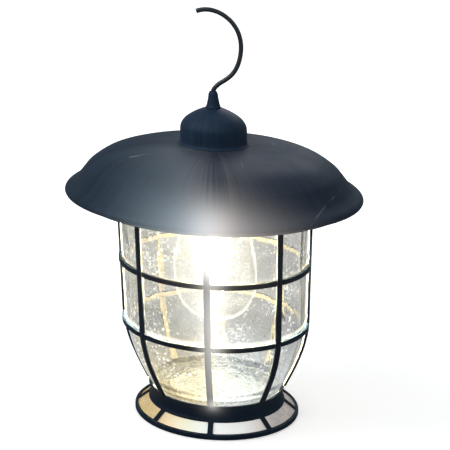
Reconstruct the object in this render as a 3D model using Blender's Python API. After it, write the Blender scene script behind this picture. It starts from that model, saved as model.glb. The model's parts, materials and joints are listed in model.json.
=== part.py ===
# Barn lantern: hanging or standing cage lantern with a blown glass globe,
# a spun dish hood, a wire hook and a screw-in filament lamp.
# Origin at the centre of the foot's underside, +Z up. The hook lies in the
# XZ plane and the switch is on the +X side.
# All dimensions are in millimetres; the helpers turn them into metres.
import math

import bmesh
import bpy
from mathutils import Matrix, Vector

for old in list(bpy.data.objects):
    bpy.data.objects.remove(old, do_unlink=True)

# ---- shared dimensions ------------------------------------------------------
MM = 0.001
GAP = 0.3           # usual clearance between neighbouring pieces
SHEET = 1.0         # spun sheet thickness of hood, pan and crown
N_RIBS = 8
RIB_PITCH = 2 * math.pi / N_RIBS

# Segments round a lathed piece
SEG_BIG = 32
SEG_MID = 24
SEG_SMALL = 12

COLLAR_Z = 21.3     # top of the foot's collar, where the ribs stand
SEAT_TOP_Z = 12.7   # top of the seat under the globe
SEAT_GASKET_Z = (SEAT_TOP_Z + GAP, 15.0)

# Outer face of the cage: (z, radius)
CAGE = [(20.5, 52.3), (30.0, 57.0), (40.0, 61.6), (50.0, 65.5), (60.0, 68.3),
        (72.0, 70.2), (100.0, 71.0), (163.7, 72.7)]

PIPE_R = 4.0
PIPE_NECK_R = 3.5
PIPE_TOP_Z = 236.6
PIPE_HOLE_R = PIPE_R + GAP      # hole in every piece threaded on the pipe

# Gallery: enamelled plate with a raised cup, under the hood
GALLERY_R = 87.2
GALLERY_Z = 171.0               # underside of the flange
GALLERY_T = 1.2
GALLERY_TOP_Z = GALLERY_Z + GALLERY_T
CUP_R = 62.0
CUP_TOP_Z = 200.7
GALLERY_SEAL_Z = GALLERY_Z - GAP    # top of the gaskets and clips below the flange

SWITCH_X = 79.0
KNOB_SIZE = 4.0
SWITCH_TRAVEL = 4.0             # towards +Y
SWITCH_PLAY = 0.4               # round the knob


# ---- materials --------------------------------------------------------------
def material(name, rgb, rough, metal=0.0, alpha=1.0, transmit=0.0):
    mat = bpy.data.materials.new(name)
    mat.use_nodes = True
    inputs = mat.node_tree.nodes["Principled BSDF"].inputs
    inputs["Base Color"].default_value = (*rgb, 1.0)
    inputs["Roughness"].default_value = rough
    inputs["Metallic"].default_value = metal
    inputs["Alpha"].default_value = alpha
    inputs["Transmission Weight"].default_value = transmit
    return mat


PAINT = material("black_paint", rgb=(0.022, 0.030, 0.042), rough=0.55)
GLASS = material("clear_glass", rgb=(0.95, 0.97, 0.95), rough=0.03, alpha=0.35, transmit=1.0)
OPAL = material("opal_glass", rgb=(0.83, 0.72, 0.55), rough=0.4)
ENAMEL = material("white_enamel", rgb=(0.80, 0.79, 0.75), rough=0.3)
ZINC = material("zinc_plate", rgb=(0.60, 0.60, 0.58), rough=0.35, metal=1.0)
STEEL = material("steel_wire", rgb=(0.10, 0.11, 0.12), rough=0.4, metal=1.0)
BRASS = material("brass", rgb=(0.72, 0.52, 0.25), rough=0.3, metal=1.0)
NICKEL = material("nickel_shell", rgb=(0.72, 0.70, 0.66), rough=0.25, metal=1.0)
RUBBER = material("rubber", rgb=(0.03, 0.03, 0.03), rough=0.8)
BAKELITE = material("moulded_black", rgb=(0.02, 0.02, 0.022), rough=0.45)
ABS = material("moulded_grey", rgb=(0.16, 0.16, 0.17), rough=0.5)
CELL_JACKET = material("cell_jacket", rgb=(0.10, 0.16, 0.12), rough=0.35, metal=0.3)
GLOW = material("filament", rgb=(1.0, 0.72, 0.32), rough=0.5)
RED = material("red_lead", rgb=(0.55, 0.03, 0.02), rough=0.5)
BLACK = material("black_lead", rgb=(0.02, 0.02, 0.02), rough=0.5)


# ---- curves and angles ------------------------------------------------------
def polar(radius, angle):
    return (radius * math.cos(angle), radius * math.sin(angle))


def turns(count, start=0.0):
    """Evenly spaced angles round the axis."""
    return [2 * math.pi * k / count + start for k in range(count)]


def catmull_rom(points, per_span):
    """Smooth curve through the points, per_span steps to each span."""
    pts = [Vector(p) for p in points]
    ctrl = [pts[0] * 2 - pts[1], *pts, pts[-1] * 2 - pts[-2]]
    curve = []
    for before, start, end, after in zip(ctrl, ctrl[1:], ctrl[2:], ctrl[3:]):
        for k in range(per_span):
            t = k / per_span
            curve.append(0.5 * (2 * start + (end - before) * t
                                + (2 * before - 5 * start + 4 * end - after) * t * t
                                + (3 * start - before - 3 * end + after) * t ** 3))
    return [tuple(p) for p in curve + [pts[-1]]]


def offset(points, distance):
    """The path moved sideways, towards the right of its direction."""
    moved = []
    for i, (x, y) in enumerate(points):
        before = Vector(points[max(i - 1, 0)])
        after = Vector(points[min(i + 1, len(points) - 1)])
        along = (after - before).normalized()
        moved.append((x + along[1] * distance, y - along[0] * distance))
    return moved


CAGE_CURVE = catmull_rom(CAGE, 12)


def cage_radius(z):
    """Outer radius of the cage at height z, held constant beyond the ends."""
    for (z0, r0), (z1, r1) in zip(CAGE_CURVE, CAGE_CURVE[1:]):
        if z0 <= z <= z1:
            return r0 + (r1 - r0) * (z - z0) / (z1 - z0)
    return CAGE_CURVE[0 if z < CAGE_CURVE[0][0] else -1][1]


# ---- solids -----------------------------------------------------------------
def link(name, data, mat):
    obj = bpy.data.objects.new(name, data)
    bpy.context.scene.collection.objects.link(obj)
    data.materials.append(mat)
    return obj


def finish(bm, name, mat, crease=30.0):
    """Turn the bmesh into an object; edges above crease degrees stay sharp."""
    bmesh.ops.remove_doubles(bm, verts=bm.verts, dist=1e-7)
    bmesh.ops.recalc_face_normals(bm, faces=bm.faces)
    mesh = bpy.data.meshes.new(name)
    bm.to_mesh(mesh)
    bm.free()
    mesh.shade_smooth()
    mesh.set_sharp_from_angle(angle=math.radians(crease))
    return link(name, mesh, mat)


def lathe(name, outline, mat, segs=SEG_BIG, crease=30.0, place=None):
    """Solid of revolution about Z. The outline is a closed loop of (r, z),
    or a chain from axis to axis when its ends have r = 0."""
    bm = bmesh.new()
    verts = [bm.verts.new((r * MM, 0.0, z * MM)) for r, z in outline]
    edges = [bm.edges.new(pair) for pair in zip(verts, verts[1:])]
    if outline[0][0] > 0 or outline[-1][0] > 0:
        edges.append(bm.edges.new((verts[-1], verts[0])))
    bmesh.ops.spin(bm, geom=verts + edges, cent=(0, 0, 0), axis=(0, 0, 1),
                   angle=2 * math.pi, steps=segs, use_merge=True)
    if place is not None:
        bmesh.ops.transform(bm, matrix=place, verts=bm.verts)
    return finish(bm, name, mat, crease)


def tube(name, r_in, r_out, z0, z1, mat, segs=SEG_BIG):
    return lathe(name, [(r_in, z0), (r_out, z0), (r_out, z1), (r_in, z1)], mat, segs)


def extrude(bm, verts, step):
    """Solid swept from the polygon through verts by the vector step, in mm."""
    swept = bmesh.ops.extrude_face_region(bm, geom=[bm.faces.new(verts)])
    far = [item for item in swept["geom"] if isinstance(item, bmesh.types.BMVert)]
    bmesh.ops.translate(bm, verts=far, vec=Vector(step) * MM)


def plate(bm, outline, z0, z1, spin=0.0):
    """Add a flat plate with a closed (x, y) outline, turned by spin about Z."""
    turn = Matrix.Rotation(spin, 4, 'Z')
    verts = [bm.verts.new(turn @ Vector((x * MM, y * MM, z0 * MM))) for x, y in outline]
    extrude(bm, verts, (0, 0, z1 - z0))


def box(bm, x0, x1, y0, y1, z0, z1, spin=0.0):
    plate(bm, [(x0, y0), (x1, y0), (x1, y1), (x0, y1)], z0, z1, spin)


def prism(bm, x, y, radius, z0, z1, sides=12):
    """Add an upright regular prism centred on (x, y)."""
    corners = [polar(radius, a) for a in turns(sides)]
    plate(bm, [(x + dx, y + dy) for dx, dy in corners], z0, z1)


def strip(name, profile, width, turn, mat):
    """Closed (r, z) profile given a width across the radius, turned about Z."""
    bm = bmesh.new()
    verts = [bm.verts.new((r * MM, -width / 2 * MM, z * MM)) for r, z in profile]
    extrude(bm, verts, (0, width, 0))
    bmesh.ops.transform(bm, matrix=Matrix.Rotation(turn, 4, 'Z'), verts=bm.verts)
    finish(bm, name, mat)


def cut(target, bm, name):
    """Subtract the closed solids in bm from the target."""
    cutter = finish(bm, name, BLACK)
    cutter.hide_render = True
    cutter.display_type = 'WIRE'
    mod = target.modifiers.new(name, 'BOOLEAN')
    mod.operation = 'DIFFERENCE'
    mod.solver = 'EXACT'
    mod.object = cutter


def wire(name, points, radius, mat, sides):
    """Round wire with filled ends along (x, y, z) points."""
    curve = bpy.data.curves.new(name, 'CURVE')
    curve.dimensions = '3D'
    curve.bevel_depth = radius * MM
    curve.bevel_resolution = sides // 2 - 2
    curve.resolution_u = 1
    curve.use_fill_caps = True
    spline = curve.splines.new('POLY')
    spline.points.add(len(points) - 1)
    for point, (x, y, z) in zip(spline.points, points):
        point.co = (x * MM, y * MM, z * MM, 1.0)
    spline.use_smooth = True
    link(name, curve, mat)


# ---- foot -------------------------------------------------------------------
FOOT_R = 62.3
FOOT_RIM_IN = 60.7
FLANGE_IN = (51.3, 10.7)        # (r, z) of the sloping flange's top face, inner edge
FLANGE_OUT = (60.6, 3.4)        # and outer edge
FLANGE_T = 1.0
FLANGE_UNDER_R = 51.0           # inner edge of the flange's underside
WINDOW_R = (51.7, 60.0)
WINDOW_CUT_Z = (1.0, 14.0)
WINDOW_STEPS = 4                # steps along each arc
SPOKE_W = 4.0
PANE_R_OUT = 60.3
PANE_T = 1.3

PLATE_R = 56.0
PLATE_Z = (2.0, 3.2)
# Pressed seat that carries the globe: (r, z)
SEAT = [(0, 10.9), (40.0, 10.9), (40.0, PLATE_Z[1] + GAP), (45.0, PLATE_Z[1] + GAP),
        (45.0, 10.7), (48.8, 10.7), (48.8, SEAT_TOP_Z), (0, SEAT_TOP_Z)]
SEAT_GASKET_R = (36.0, 45.6)
# Foot screw, head down: (r, z)
SCREW = [(0, 0.5), (2.3, 0.5), (2.9, 1.1), (2.9, 1.7), (1.4, 1.7), (1.4, 9.2), (0, 9.5)]
SCREW_CIRCLE_R = 42.5
PLATE_HOLE = dict(radius=1.8, z0=1.0, z1=4.0)
SEAT_HOLE = dict(radius=1.75, z0=3.0, z1=9.8)


def under_flange(r, depth):
    """(r, z) at a depth below the flange's top face, measured square to it."""
    slope = (Vector(FLANGE_OUT) - Vector(FLANGE_IN)).normalized()
    base = Vector(FLANGE_IN) - Vector((-slope[1], slope[0])) * depth
    return (r, base[1] + slope[1] * (r - base[0]) / slope[0])


def build_foot_ring():
    foot = lathe("foot_ring", [
        (FOOT_RIM_IN, 0.0), (FOOT_R, 0.0), (FOOT_R, 2.8), (FOOT_R - 0.5, 3.6),
        FLANGE_OUT, FLANGE_IN,
        (50.6, 11.9), (50.2, 14.5), (50.4, 17.5), (51.4, 20.4), (51.3, COLLAR_Z),
        (49.2, COLLAR_Z), (49.2, 12.4), (49.8, 11.0),
        under_flange(FLANGE_UNDER_R, FLANGE_T), under_flange(FOOT_RIM_IN, FLANGE_T)], PAINT)
    windows = bmesh.new()
    for turn in turns(N_RIBS):
        outline = []
        for r, order in ((WINDOW_R[1], 1), (WINDOW_R[0], -1)):
            start = math.asin(SPOKE_W / 2 / r)
            sweep = RIB_PITCH - 2 * start
            arc = [polar(r, start + sweep * i / WINDOW_STEPS) for i in range(WINDOW_STEPS + 1)]
            outline += arc[::order]
        plate(windows, outline, *WINDOW_CUT_Z, turn)
    cut(foot, windows, "cut_foot_windows")


def build_foot_pane():
    top = FLANGE_T + GAP
    bottom = top + PANE_T
    lathe("foot_pane_ring", [
        under_flange(FLANGE_UNDER_R, top), under_flange(PANE_R_OUT, top),
        under_flange(PANE_R_OUT, bottom), under_flange(FLANGE_UNDER_R, bottom)], OPAL)


def build_seat():
    z0, z1 = PLATE_Z
    foot_plate = lathe("foot_plate", [(0, z0), (PLATE_R, z0), (PLATE_R, z1), (0, z1)], ZINC)
    seat = lathe("glass_seat", SEAT, ZINC)
    plate_holes = bmesh.new()
    seat_holes = bmesh.new()
    for k, turn in enumerate(turns(3, math.pi / 6)):
        x, y = polar(SCREW_CIRCLE_R, turn)
        prism(plate_holes, x, y, **PLATE_HOLE)
        prism(seat_holes, x, y, **SEAT_HOLE)
        lathe("foot_screw_%d" % (k + 1), SCREW, ZINC, SEG_SMALL,
              place=Matrix.Translation((x * MM, y * MM, 0)))
    cut(foot_plate, plate_holes, "cut_plate_holes")
    cut(seat, seat_holes, "cut_seat_holes")
    tube("seat_gasket", *SEAT_GASKET_R, *SEAT_GASKET_Z, RUBBER, SEG_MID)


# ---- glass globe ------------------------------------------------------------
GLASS_INSET = 3.3               # outside of the glass behind the cage's face
GLASS_WALL = 2.4
GLASS_LIP = 0.8                 # chamfer at the mouth
GLASS_Z0 = SEAT_GASKET_Z[1] + GAP
GLASS_Z1 = 166.0
GLASS_FLOOR_Z = GLASS_Z0 + 5.5
# Underside from the axis outwards, and inside floor back to the axis: (r, z)
GLASS_UNDER = [(0.0, GLASS_Z0 + 0.9), (30.0, GLASS_Z0 + 0.7), (40.0, GLASS_Z0),
               (45.0, GLASS_Z0 + 0.6), (47.2, 18.2), (48.7, 21.3), (49.3, 22.5)]
GLASS_FLOOR = [(49.9, 29.0), (46.6, 24.2), (41.0, GLASS_FLOOR_Z + 0.8),
               (24.0, GLASS_FLOOR_Z + 0.6), (0.0, GLASS_FLOOR_Z + 2.0)]
# Heights where the wall follows the cage; the inside starts one station higher
GLASS_STATIONS = [28, 36, 45, 54, 65, 80, 105, 135, GLASS_Z1 - GLASS_LIP]


def build_globe():
    wall = [(cage_radius(z) - GLASS_INSET, z) for z in GLASS_STATIONS]
    inside = [(r - GLASS_WALL, z) for r, z in wall[:0:-1]]
    mouth = [(wall[-1][0] - GLASS_LIP, GLASS_Z1), (inside[0][0] + GLASS_LIP, GLASS_Z1)]
    lathe("glass_globe", GLASS_UNDER + wall + mouth + inside + GLASS_FLOOR, GLASS, crease=50.0)


# ---- cage -------------------------------------------------------------------
RIB_W = 4.6                     # round the cage
RIB_T = 2.3                     # radial
RIB_LAP = 1.05                  # rib thickness left where a hoop crosses
RIB_STATIONS = [COLLAR_Z + GAP, 28, 36, 44, 52, 60, 68.5, 90, 130, CAGE[-1][0]]
HOOP_UPPER_Z = 119.0
HOOP_LOWER_Z = 72.0
HOOP_H = 3.7
HOOP_T = 2.9                    # radial
HOOP_STEPS = 4                  # steps along each arc between ribs
NOTCH_EXTRA = 0.15              # extra depth of the hoop's notches
NOTCH_RUNOUT = 0.004            # radians taken by each notch's end wall
TOP_RING_R = CAGE[-1][1]
TOP_RING_Z = (CAGE[-1][0] + GAP, 169.0)


def build_ribs():
    levels = [(z, RIB_T) for z in RIB_STATIONS]
    for hoop_z in (HOOP_UPPER_Z, HOOP_LOWER_Z):
        low = hoop_z - HOOP_H / 2 - GAP
        high = hoop_z + HOOP_H / 2 + GAP
        levels += [(high, RIB_T), (high, RIB_LAP), (low, RIB_LAP), (low, RIB_T)]
    # The sort is stable, so each notch keeps the order of its corners
    levels.sort(key=lambda level: -level[0])
    profile = [(cage_radius(z), z) for z in RIB_STATIONS]
    profile += [(cage_radius(z) - thick, z) for z, thick in levels]
    for k, turn in enumerate(turns(N_RIBS)):
        strip("cage_rib_%d" % (k + 1), profile, RIB_W, turn, PAINT)


def build_hoop(name, hoop_z):
    """Cage hoop with its outer half notched at each rib."""
    r_out = cage_radius(hoop_z)
    r_in = r_out - HOOP_T
    r_notch = r_out - RIB_LAP - GAP - NOTCH_EXTRA
    half = math.asin((RIB_W / 2 + GAP) / r_notch)
    edge = half + NOTCH_RUNOUT
    sweep = RIB_PITCH - 2 * edge
    plan = []                   # (angle, outer radius)
    for turn in turns(N_RIBS):
        plan += [(turn - half, r_notch), (turn, r_notch), (turn + half, r_notch)]
        plan += [(turn + edge + sweep * i / HOOP_STEPS, r_out) for i in range(HOOP_STEPS + 1)]
    z0, z1 = hoop_z - HOOP_H / 2, hoop_z + HOOP_H / 2
    bm = bmesh.new()
    sections = []
    for angle, r in plan:
        corners = ((r, z0), (r, z1), (r_in, z1), (r_in, z0))
        sections.append([bm.verts.new(Vector((*polar(radius, angle), z)) * MM)
                         for radius, z in corners])
    for this, after in zip(sections, sections[1:] + sections[:1]):
        for i in range(4):
            j = (i + 1) % 4
            bm.faces.new((this[i], after[i], after[j], this[j]))
    finish(bm, name, PAINT)


def build_cage():
    build_ribs()
    build_hoop("cage_hoop_upper", HOOP_UPPER_Z)
    build_hoop("cage_hoop_lower", HOOP_LOWER_Z)
    tube("cage_top_ring", TOP_RING_R - HOOP_T, TOP_RING_R, *TOP_RING_Z, PAINT)


# ---- hood, crown and hook ---------------------------------------------------
HOOD_FLAT_Z = 205.9
# Hood's upper face from the pipe hole to the rim: (r, z)
HOOD = [(PIPE_HOLE_R, HOOD_FLAT_Z), (14.0, HOOD_FLAT_Z), (24.6, HOOD_FLAT_Z),
        (45.0, 205.2), (63.6, 202.6), (78.2, 198.1), (89.9, 190.5), (94.9, 185.0),
        (98.2, 180.8), (100.8, 177.9), (103.8, 175.6), (106.8, 173.6), (108.5, 172.0),
        (109.0, 170.3), (108.4, 169.0)]
HOOD_TIP = (107.9, 169.9)       # inner corner of the sheet's edge
PAN_INNER_R = 87.4
# Pan's lower face from the rim inwards, then up its inner wall: (r, z)
PAN = [(108.1, 168.8), (106.2, 168.2), (103.8, 167.3), (99.2, 164.7), (94.4, 162.7),
       (90.3, 162.0), (88.4, 162.3), (PAN_INNER_R, 163.4), (PAN_INNER_R, 170.6)]
PAN_TIP = (107.55, 169.75)      # inner corner of the pan's edge, close to the hood's

CROWN_TOP_Z = 232.5
# Crown's outer face from the pipe hole down to its foot: (r, z)
CROWN = [(PIPE_HOLE_R, CROWN_TOP_Z), (6.8, CROWN_TOP_Z), (8.8, 231.7), (12.2, 230.2),
         (16.3, 227.9), (20.0, 225.3), (22.5, 222.5), (23.9, 219.6), (24.3, 216.0),
         (24.3, 209.4), (24.7, 207.3), (25.9, 206.2)]

PIPE_Z0 = 195.2
PIPE_NECK_Z = 232.2
PIPE_BORE_R = 2.75
NUT = dict(radius=6.9, z0=206.3, z1=210.6)
NUT_BORE_Z = (205.0, 212.0)

FINIAL_Z0 = CROWN_TOP_Z + GAP
FINIAL_Z1 = 244.6
FINIAL_BORE_R = PIPE_NECK_R + GAP
FINIAL_BORE_Z = PIPE_TOP_Z + GAP
# Finial's outer face above its base: (r, height)
FINIAL_SIDE = [(5.6, 0), (5.5, 0.5), (4.9, 1.8), (4.5, 3.5), (4.1, 5.4), (3.7, 7.5), (3.4, 9.9)]
FINIAL_HOOK_R = 2.1             # hole round the hook's shank

HOOK_WIRE_R = 1.65
# Centreline of the hook: (x, z)
HOOK = [(0.0, 234.6), (0.0, 240.0), (0.0, 244.6), (1.5, 247.4), (4.6, 250.4),
        (8.9, 253.3), (13.2, 256.9), (16.6, 261.6), (18.9, 267.4), (20.2, 274.5),
        (20.1, 281.0), (18.7, 286.8), (16.3, 291.6), (12.5, 296.2), (6.8, 300.3),
        (0.8, 302.5), (-4.6, 303.0), (-9.0, 302.3), (-11.6, 301.4)]
HOOK_COLLAR_R = (1.95, PIPE_BORE_R - GAP)
HOOK_COLLAR_Z0 = 235.0


def build_hood():
    inside = offset(HOOD, SHEET)
    inside[-1] = HOOD_TIP
    lathe("hood_shell", HOOD + inside[::-1], PAINT, crease=35.0)
    inside = offset(PAN, SHEET)
    inside[0] = PAN_TIP
    lathe("hood_pan", PAN + inside[::-1], PAINT, crease=35.0)


def build_crown():
    inside = offset(CROWN, SHEET)
    foot_r, foot_z = CROWN[-1]
    inside[-1] = (foot_r - SHEET, foot_z)
    lathe("crown_cap", CROWN + inside[::-1], PAINT, SEG_MID, 40.0)


def build_finial():
    side = [(r, FINIAL_Z0 + height) for r, height in FINIAL_SIDE]
    lathe("finial", [
        (FINIAL_BORE_R, FINIAL_Z0), *side, (3.0, FINIAL_Z1 - 1.0), (2.6, FINIAL_Z1),
        (FINIAL_HOOK_R, FINIAL_Z1), (FINIAL_HOOK_R, FINIAL_BORE_Z),
        (FINIAL_BORE_R, FINIAL_BORE_Z)], PAINT, SEG_SMALL)


def build_pipe():
    lathe("lamp_pipe", [
        (PIPE_BORE_R, PIPE_Z0), (PIPE_R, PIPE_Z0), (PIPE_R, PIPE_NECK_Z),
        (PIPE_NECK_R, PIPE_NECK_Z), (PIPE_NECK_R, PIPE_TOP_Z), (PIPE_BORE_R, PIPE_TOP_Z)],
        ZINC, SEG_SMALL)
    hexagon = bmesh.new()
    prism(hexagon, 0, 0, **NUT, sides=6)
    nut = finish(hexagon, "lock_nut", ZINC)
    bore = bmesh.new()
    prism(bore, 0, 0, PIPE_HOLE_R, *NUT_BORE_Z, sides=20)
    cut(nut, bore, "cut_nut_bore")


def build_hook():
    path = [(x, 0.0, z) for x, z in catmull_rom(HOOK, 2)]
    wire("hook", path, HOOK_WIRE_R, STEEL, 8)
    tube("hook_collar", *HOOK_COLLAR_R, HOOK_COLLAR_Z0, PIPE_TOP_Z, ZINC, 16)


# ---- gallery under the hood -------------------------------------------------
GALLERY_GASKET = (70.0, 72.5, 169.3, GALLERY_SEAL_Z)        # inner R, outer R, z0, z1
GLASS_GASKET = (66.8, 69.2, GLASS_Z1 + GAP, GALLERY_SEAL_Z)
CLIP_W = 10.0
# Bent clip: (r, z)
CLIP = [(73.3, 169.8), (73.3, 164.5), (73.9, 162.6), (75.0, 161.6), (75.5, 162.0),
        (74.6, 163.0), (74.0, 164.8), (74.0, 169.8), (80.0, 169.9),
        (80.0, GALLERY_SEAL_Z), (74.0, GALLERY_SEAL_Z), (73.3, 170.4)]


def switch_opening(top_z):
    """Cutter for the knob's path, from below the gallery flange up to top_z."""
    half = KNOB_SIZE / 2 + SWITCH_PLAY
    bm = bmesh.new()
    box(bm, SWITCH_X - half, SWITCH_X + half, -half, half + SWITCH_TRAVEL,
        GALLERY_Z - 1, top_z)
    return bm


def build_gallery():
    cup_in = CUP_R - GALLERY_T
    ceiling = CUP_TOP_Z - GALLERY_T
    gallery = lathe("gallery_plate", [
        (PIPE_HOLE_R, CUP_TOP_Z), (CUP_R - 2.0, CUP_TOP_Z), (CUP_R, CUP_TOP_Z - 2.0),
        (CUP_R, GALLERY_TOP_Z + 1.0), (CUP_R + 1.0, GALLERY_TOP_Z),
        (GALLERY_R, GALLERY_TOP_Z), (GALLERY_R, GALLERY_Z), (CUP_R + 0.2, GALLERY_Z),
        (cup_in, GALLERY_Z + 1.4), (cup_in, ceiling - 0.8), (cup_in - 0.8, ceiling),
        (PIPE_HOLE_R, ceiling)], ENAMEL)
    cut(gallery, switch_opening(GALLERY_TOP_Z + 1), "cut_switch_slot")
    tube("gallery_gasket", *GALLERY_GASKET, RUBBER)
    tube("glass_top_gasket", *GLASS_GASKET, RUBBER)
    for k, turn in enumerate(turns(3, math.radians(37.5))):
        strip("gallery_clip_%d" % (k + 1), CLIP, CLIP_W, turn, ZINC)


# ---- battery box ------------------------------------------------------------
BATTERY_BOX = (23.0, 60.2, 178.2, 198.4)        # inner R, outer R, z0, z1
BATTERY_COVER = (23.4, 60.2, 175.7, 177.8)
CELL_R = 7.1
CELL_HALF = 49.2 / 2            # half the cell's length
CELL_AT = 42.0                  # cell axis from the lantern's axis
CELL_Z = 186.9
POCKET_SIDE = 0.6               # clearance round a cell
POCKET_END = 2.6                # clearance past each end
POCKET_Z0 = 170.0
# Cell about its own axis: (r, distance along the axis)
CELL = [(0, -CELL_HALF), (CELL_R - 0.5, -CELL_HALF), (CELL_R, -CELL_HALF + 0.5),
        (CELL_R, CELL_HALF - 0.9), (CELL_R - 0.6, CELL_HALF - 0.3), (2.7, CELL_HALF - 0.3),
        (2.6, CELL_HALF + 0.9), (0, CELL_HALF + 0.9)]
GRIP_X = (32.0, 52.0)
GRIP_Z = (170.0, 176.7)


def build_battery():
    holder = tube("battery_box", *BATTERY_BOX, ABS, SEG_MID)
    pockets = bmesh.new()
    half_w = CELL_R + POCKET_SIDE
    half_l = CELL_HALF + POCKET_END
    for k, turn in enumerate(turns(3)):
        box(pockets, CELL_AT - half_w, CELL_AT + half_w, -half_l, half_l,
            POCKET_Z0, CELL_Z + half_w, turn)
        place = (Matrix.Rotation(turn, 4, 'Z')
                 @ Matrix.Translation((CELL_AT * MM, 0, CELL_Z * MM))
                 @ Matrix.Rotation(math.pi / 2, 4, 'X'))
        lathe("battery_cell_%d" % (k + 1), CELL, CELL_JACKET, SEG_SMALL, place=place)
        leaf = bmesh.new()
        box(leaf, CELL_AT - 5.5, CELL_AT + 5.5, CELL_HALF + 1.3, CELL_HALF + 1.9,
            CELL_Z - 5.0, CELL_Z + 6.6, turn)
        finish(leaf, "battery_contact_%d" % (k + 1), NICKEL)
    cut(holder, pockets, "cut_cell_pockets")


def build_battery_cover():
    cover = tube("battery_cover", *BATTERY_COVER, ABS, SEG_MID)
    grips = bmesh.new()
    for turn in turns(2):
        for y0, y1 in ((-9.0, -4.0), (4.0, 9.0)):
            box(grips, *GRIP_X, y0, y1, *GRIP_Z, turn)
    cut(cover, grips, "cut_cover_grips")


# ---- lampholder -------------------------------------------------------------
HOLDER_IN = 14.5
HOLDER_R = 18.0
HOLDER_Z0 = 168.0
HOLDER_Z1 = CUP_TOP_Z - GALLERY_T - GAP
# Socket shell, closed at the top round a 9 mm radius hole: (r, z)
SOCKET = [(13.4, 169.2), (14.1, 169.2), (14.1, 192.0), (9.0, 192.0), (9.0, 191.3), (13.4, 191.3)]
LEAD_R = 0.8
LEAD_CIRCLE_R = 20.5
LEAD_Z = (181.0, 194.0)
LEAD_STEPS = 6


def build_lampholder():
    lathe("lampholder_body", [
        (HOLDER_IN, HOLDER_Z0), (HOLDER_R - 0.8, HOLDER_Z0), (HOLDER_R, HOLDER_Z0 + 0.8),
        (HOLDER_R, HOLDER_Z1 - 2.5), (HOLDER_R - 2.5, HOLDER_Z1), (PIPE_HOLE_R, HOLDER_Z1),
        (PIPE_HOLE_R, 195.0), (HOLDER_IN - 1.0, 195.0), (HOLDER_IN, 194.0)],
        BAKELITE, SEG_MID)
    lathe("lampholder_shell", SOCKET, BRASS, SEG_MID)
    tongue = bmesh.new()
    box(tongue, -3.0, 12.0, -2.5, 2.5, 193.6, 194.3)
    finish(tongue, "lampholder_contact", BRASS)


def build_lead(name, start, end, mat):
    """Lead rising round the lampholder between two angles in degrees."""
    z0, z1 = LEAD_Z
    path = []
    for i in range(LEAD_STEPS + 1):
        part = i / LEAD_STEPS
        ease = 0.5 - 0.5 * math.cos(math.pi * part)
        angle = math.radians(start + (end - start) * part)
        path.append((*polar(LEAD_CIRCLE_R, angle), z0 + (z1 - z0) * ease))
    wire(name, path, LEAD_R, mat, 6)


# ---- lamp -------------------------------------------------------------------
# Bulb's outer face from the bottom up: (r, z)
BULB = [(0.0, 72.5), (8.0, 73.2), (15.6, 76.1), (22.6, 81.5), (28.0, 89.3),
        (30.6, 97.5), (31.1, 105.0), (30.6, 116.0), (28.8, 128.5), (25.6, 141.5),
        (21.0, 153.0), (16.2, 161.5), (13.4, 166.0), (12.6, 168.1)]
BULB_WALL = 0.8
# Hollow stem inside the bulb, outer face up and inner face down: (r, z)
STEM = [(0, 108.0), (1.6, 108.6), (2.2, 111.0), (2.4, 140.0), (4.0, 150.0),
        (8.4, 160.0), (10.9, 166.4),
        (10.2, 166.4), (7.6, 160.2), (2.9, 150.2), (1.2, 140.0), (0, 138.6)]
CAP_R = 12.9
CAP_IN = 11.9
CAP_Z0 = 168.4
CAP_Z1 = 188.0
INSULATOR_Z0 = CAP_Z1 + GAP
INSULATOR_Z1 = CAP_Z1 + 3.2
CONTACT_Z0 = INSULATOR_Z1 + GAP
FILAMENT_TOP = (5.2, 146.0)     # (r, z)
FILAMENT_BOTTOM = (9.0, 92.0)
FILAMENT_WIRE_R = 0.8


def build_bulb():
    inside = offset(BULB, -BULB_WALL)
    inside[0] = (0.0, BULB[0][1] + BULB_WALL)
    inside[-1] = (BULB[-1][0] - BULB_WALL, BULB[-1][1])
    lathe("bulb_glass", BULB + inside[::-1], GLASS, SEG_MID, 50.0)
    lathe("bulb_stem", STEM, GLASS, SEG_SMALL, 50.0)


def build_bulb_cap():
    lathe("bulb_cap", [
        (CAP_IN, CAP_Z0), (CAP_R, CAP_Z0), (CAP_R, CAP_Z1 - 1.6), (11.4, CAP_Z1),
        (9.3, CAP_Z1), (9.3, CAP_Z1 - 0.7), (11.0, CAP_Z1 - 0.7), (CAP_IN, CAP_Z1 - 1.9)],
        NICKEL, SEG_MID)
    lathe("bulb_insulator", [
        (0, INSULATOR_Z0), (9.9, INSULATOR_Z0), (9.6, CAP_Z1 + 1.2), (5.2, INSULATOR_Z1),
        (0, INSULATOR_Z1)], BAKELITE, SEG_SMALL)
    lathe("bulb_contact", [
        (0, CONTACT_Z0), (4.7, CONTACT_Z0), (4.5, CONTACT_Z0 + 0.8), (2.6, CONTACT_Z0 + 1.4),
        (0, CONTACT_Z0 + 1.4)], NICKEL, SEG_SMALL)


def build_filaments():
    for k, turn in enumerate(turns(4, math.pi / 4)):
        path = [(*polar(r, turn), z) for r, z in (FILAMENT_TOP, FILAMENT_BOTTOM)]
        wire("bulb_filament_%d" % (k + 1), path, FILAMENT_WIRE_R, GLOW, 8)


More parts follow.
